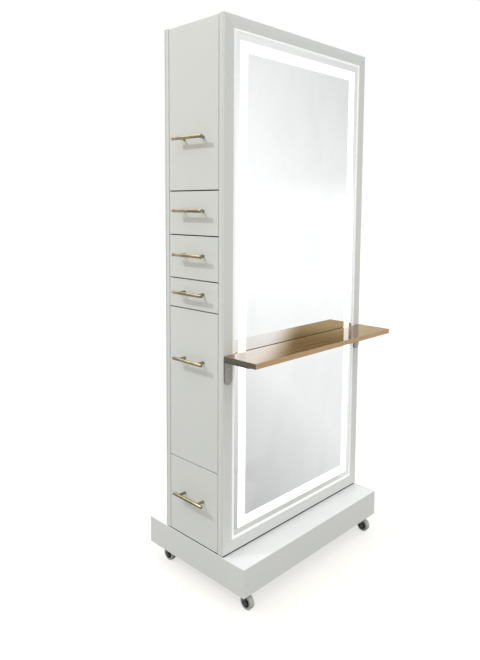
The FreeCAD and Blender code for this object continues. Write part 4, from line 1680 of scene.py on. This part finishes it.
@dataclass
class Studio:
    """A plain white room with a soft sky and a key lamp at the left.

    The object is lit by a sky that grows from the horizon up, with a little more from the front. What the
    mirrors show directly is an even pale sweep. For blurred reflections only, such as the brass gives, it
    is darker behind the drawer end and warm near the floor. What shows in a second reflection, such as
    the mirror's own image in the waxed shelf, is a darker warm room with one bright window.
    """

    floor_size: float = 60.0
    lift: Ramp = Ramp(0.0, 1.0, 0.15, 1.36)
    front: Ramp = Ramp(0.0, -1.0, 0.0, 0.42)
    sweep: Ramp = Ramp(0.0, 0.28, 1.17, 0.89)
    dim: Ramp = Ramp(0.72, 0.86, 0.0, -0.25)
    dim_fade: Ramp = Ramp(0.0, 0.05)
    behind: Ramp = Ramp(0.3, 0.6)
    dark_side: tuple[float, float] = (-0.1, -0.6)
    dark_part: float = 0.35
    overhead: Ramp = Ramp(0.35, 0.75, 0.0, 2.6)
    back_wall: tuple[float, float] = (0.35, 0.25)
    back_gain: float = 0.4
    window_way: Point = (0.652, -0.744, 0.146)
    window: Ramp = Ramp(0.146, 0.190, 1.0, 0.0)
    window_glow: float = 2.6
    room: Ramp = Ramp(0.194, 0.211, 0.9, 0.13)
    room_tint: str = "#FFE6B0"
    second_depth: float = 1.5       # glossy bounces: more than one is a second reflection
    key: Lamp = Lamp("key", (-3.25, 1.88, 4.08), (0.0, 0.0, 1.0), 0.12, 57.0)

    def build(self) -> None:
        """Adds the floor, the sky and the key lamp."""
        bpy.ops.mesh.primitive_plane_add(size=self.floor_size)
        floor = settled("studio_floor")
        floor.data.materials.append(StudioFloor().material())
        self.sky()
        self.key.build()

    def sky(self) -> None:
        """Makes the sky: plain light for the object, white for the camera, a sweep for reflections."""
        world = bpy.data.worlds.new("studio_sky")
        world.use_nodes = True
        tree = world.node_tree
        tree.nodes.clear()
        rays = add_node(tree, "ShaderNodeLightPath").outputs
        heading = add_node(tree, "ShaderNodeTexCoord").outputs["Generated"]
        way = add_node(tree, "ShaderNodeSeparateXYZ", {0: heading}).outputs
        lift, front, sweep, dim, fade, behind, overhead, room = [
            add_node(tree, "ShaderNodeMapRange", ramp.of(way[axis.name])).outputs[0]
            for ramp, axis in ((self.lift, Axis.Z), (self.front, Axis.Y), (self.sweep, Axis.Z),
                               (self.dim, Axis.X), (self.dim_fade, Axis.Z), (self.behind, Axis.Y),
                               (self.overhead, Axis.Z), (self.room, Axis.Z))]
        plain = add_node(tree, "ShaderNodeMath", {0: lift, 1: front}, operation="ADD")
        behind = add_node(tree, "ShaderNodeMath", {0: behind, 1: rays["Is Singular Ray"]},
                          operation="SUBTRACT", use_clamp=True).outputs[0]
        darkest = add_node(tree, "ShaderNodeMath", {0: behind, 1: self.dark_part - 1.0, 2: 1.0},
                           operation="MULTIPLY_ADD")
        side = add_node(tree, "ShaderNodeMapRange",
                        Ramp(*self.dark_side, 1.0, darkest.outputs[0]).of(way["X"]))
        back_wall = add_node(tree, "ShaderNodeMapRange",
                             Ramp(*self.back_wall, 0.0, behind).of(way["Z"])).outputs[0]
        dimmed = add_node(tree, "ShaderNodeMath", {0: dim, 1: fade, 2: sweep}, operation="MULTIPLY_ADD")
        mirrored = add_node(tree, "ShaderNodeMath", {0: dimmed.outputs[0], 1: side.outputs[0], 2: overhead},
                            operation="MULTIPLY_ADD")
        first = add_node(tree, "ShaderNodeMath",
                         {0: back_wall, 1: self.back_gain, 2: mirrored.outputs[0]},
                         operation="MULTIPLY_ADD")
        off_window = add_node(tree, "ShaderNodeVectorMath", {0: heading, 1: self.window_way},
                              operation="DISTANCE")
        window = add_node(tree, "ShaderNodeMapRange", self.window.of(off_window.outputs["Value"]),
                          interpolation_type="SMOOTHSTEP")
        lit_room = add_node(tree, "ShaderNodeMix", {0: window.outputs[0], 2: room, 3: self.window_glow})
        second = add_node(tree, "ShaderNodeMath", {0: rays["Glossy Depth"], 1: self.second_depth},
                          operation="GREATER_THAN")
        reflected = add_node(tree, "ShaderNodeMix",
                             {0: second.outputs[0], 2: first.outputs[0], 3: lit_room.outputs[0]})
        lit = add_node(tree, "ShaderNodeMix",
                       {0: rays["Is Glossy Ray"], 2: plain.outputs[0], 3: reflected.outputs[0]})
        strength = add_node(tree, "ShaderNodeMix", {0: rays["Is Camera Ray"], 2: lit.outputs[0], 3: 1.0})
        off = add_node(tree, "ShaderNodeMath", {0: second.outputs[0], 1: window.outputs[0]},
                       operation="SUBTRACT", use_clamp=True)
        wall = add_node(tree, "ShaderNodeMath", {0: back_wall, 1: rays["Is Glossy Ray"]},
                        operation="MULTIPLY")
        warm = add_node(tree, "ShaderNodeMath", {0: off.outputs[0], 1: wall.outputs[0]},
                        operation="MAXIMUM")
        tint = add_node(tree, "ShaderNodeMix",
                        {0: warm.outputs[0], 6: WHITE, 7: linear(self.room_tint)}, data_type="RGBA")
        sky = add_node(tree, "ShaderNodeBackground",
                       {"Color": tint.outputs[2], "Strength": strength.outputs[0]})
        add_node(tree, "ShaderNodeOutputWorld", {"Surface": sky.outputs[0]})
        bpy.context.scene.world = world


@dataclass
class StudioCamera:
    """The main camera: its place, its way in degrees, and its lens and image centre in image points."""

    place: Point = (-1.7621, -1.5251, 1.3552)
    azimuth: float = -45.42
    elevation: float = 5.31
    roll: float = 0.31
    focal: float = 603.55
    centre: tuple[float, float] = (235.81, 263.25)
    image: tuple[int, int] = (480, 660)
    sensor_mm: float = 36.0
    clip: tuple[float, float] = (0.05, 100.0)

    def build(self) -> None:
        """Adds the camera and makes it the scene's."""
        data = bpy.data.cameras.new("studio_camera")
        width, height = self.image
        data.sensor_fit = "AUTO"
        data.sensor_width = self.sensor_mm
        data.lens = self.focal / height * data.sensor_width
        data.shift_x = (width / 2 - self.centre[0]) / height
        data.shift_y = (self.centre[1] - height / 2) / height
        data.clip_start, data.clip_end = self.clip
        camera = bpy.data.objects.new("studio_camera", data)
        side, lift, roll = (math.radians(a) for a in (self.azimuth, self.elevation, self.roll))
        back = Vector((math.sin(side) * math.cos(lift), -math.cos(side) * math.cos(lift), math.sin(lift)))
        right = Vector((math.cos(side), math.sin(side), 0))
        up = back.cross(right)
        tilted = Matrix([math.cos(roll) * right + math.sin(roll) * up,
                         math.cos(roll) * up - math.sin(roll) * right, back]).transposed()
        camera.matrix_world = Matrix.Translation(Vector(self.place)) @ tilted.to_4x4()
        bpy.context.scene.collection.objects.link(camera)
        bpy.context.scene.camera = camera


def main() -> None:
    """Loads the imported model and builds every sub-assembly."""
    logging.basicConfig(level=logging.INFO, format="%(name)s: %(message)s")
    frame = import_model()
    bpy.ops.object.select_all(action="DESELECT")
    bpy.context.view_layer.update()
    bpy.context.scene.view_settings.view_transform = "Standard"
    StudioCamera().build()
    Studio().build()
    station = Station(frame["nodes"])
    for part in (Cabinet(station), Plinth(station), LitMirror(station), Shelf(station),
                 FixingScrew(station), PullOuts(station), Casters(station)):
        LOG.info("building %s", type(part).__name__)
        part.build()


if __name__ == "__main__":
    main()
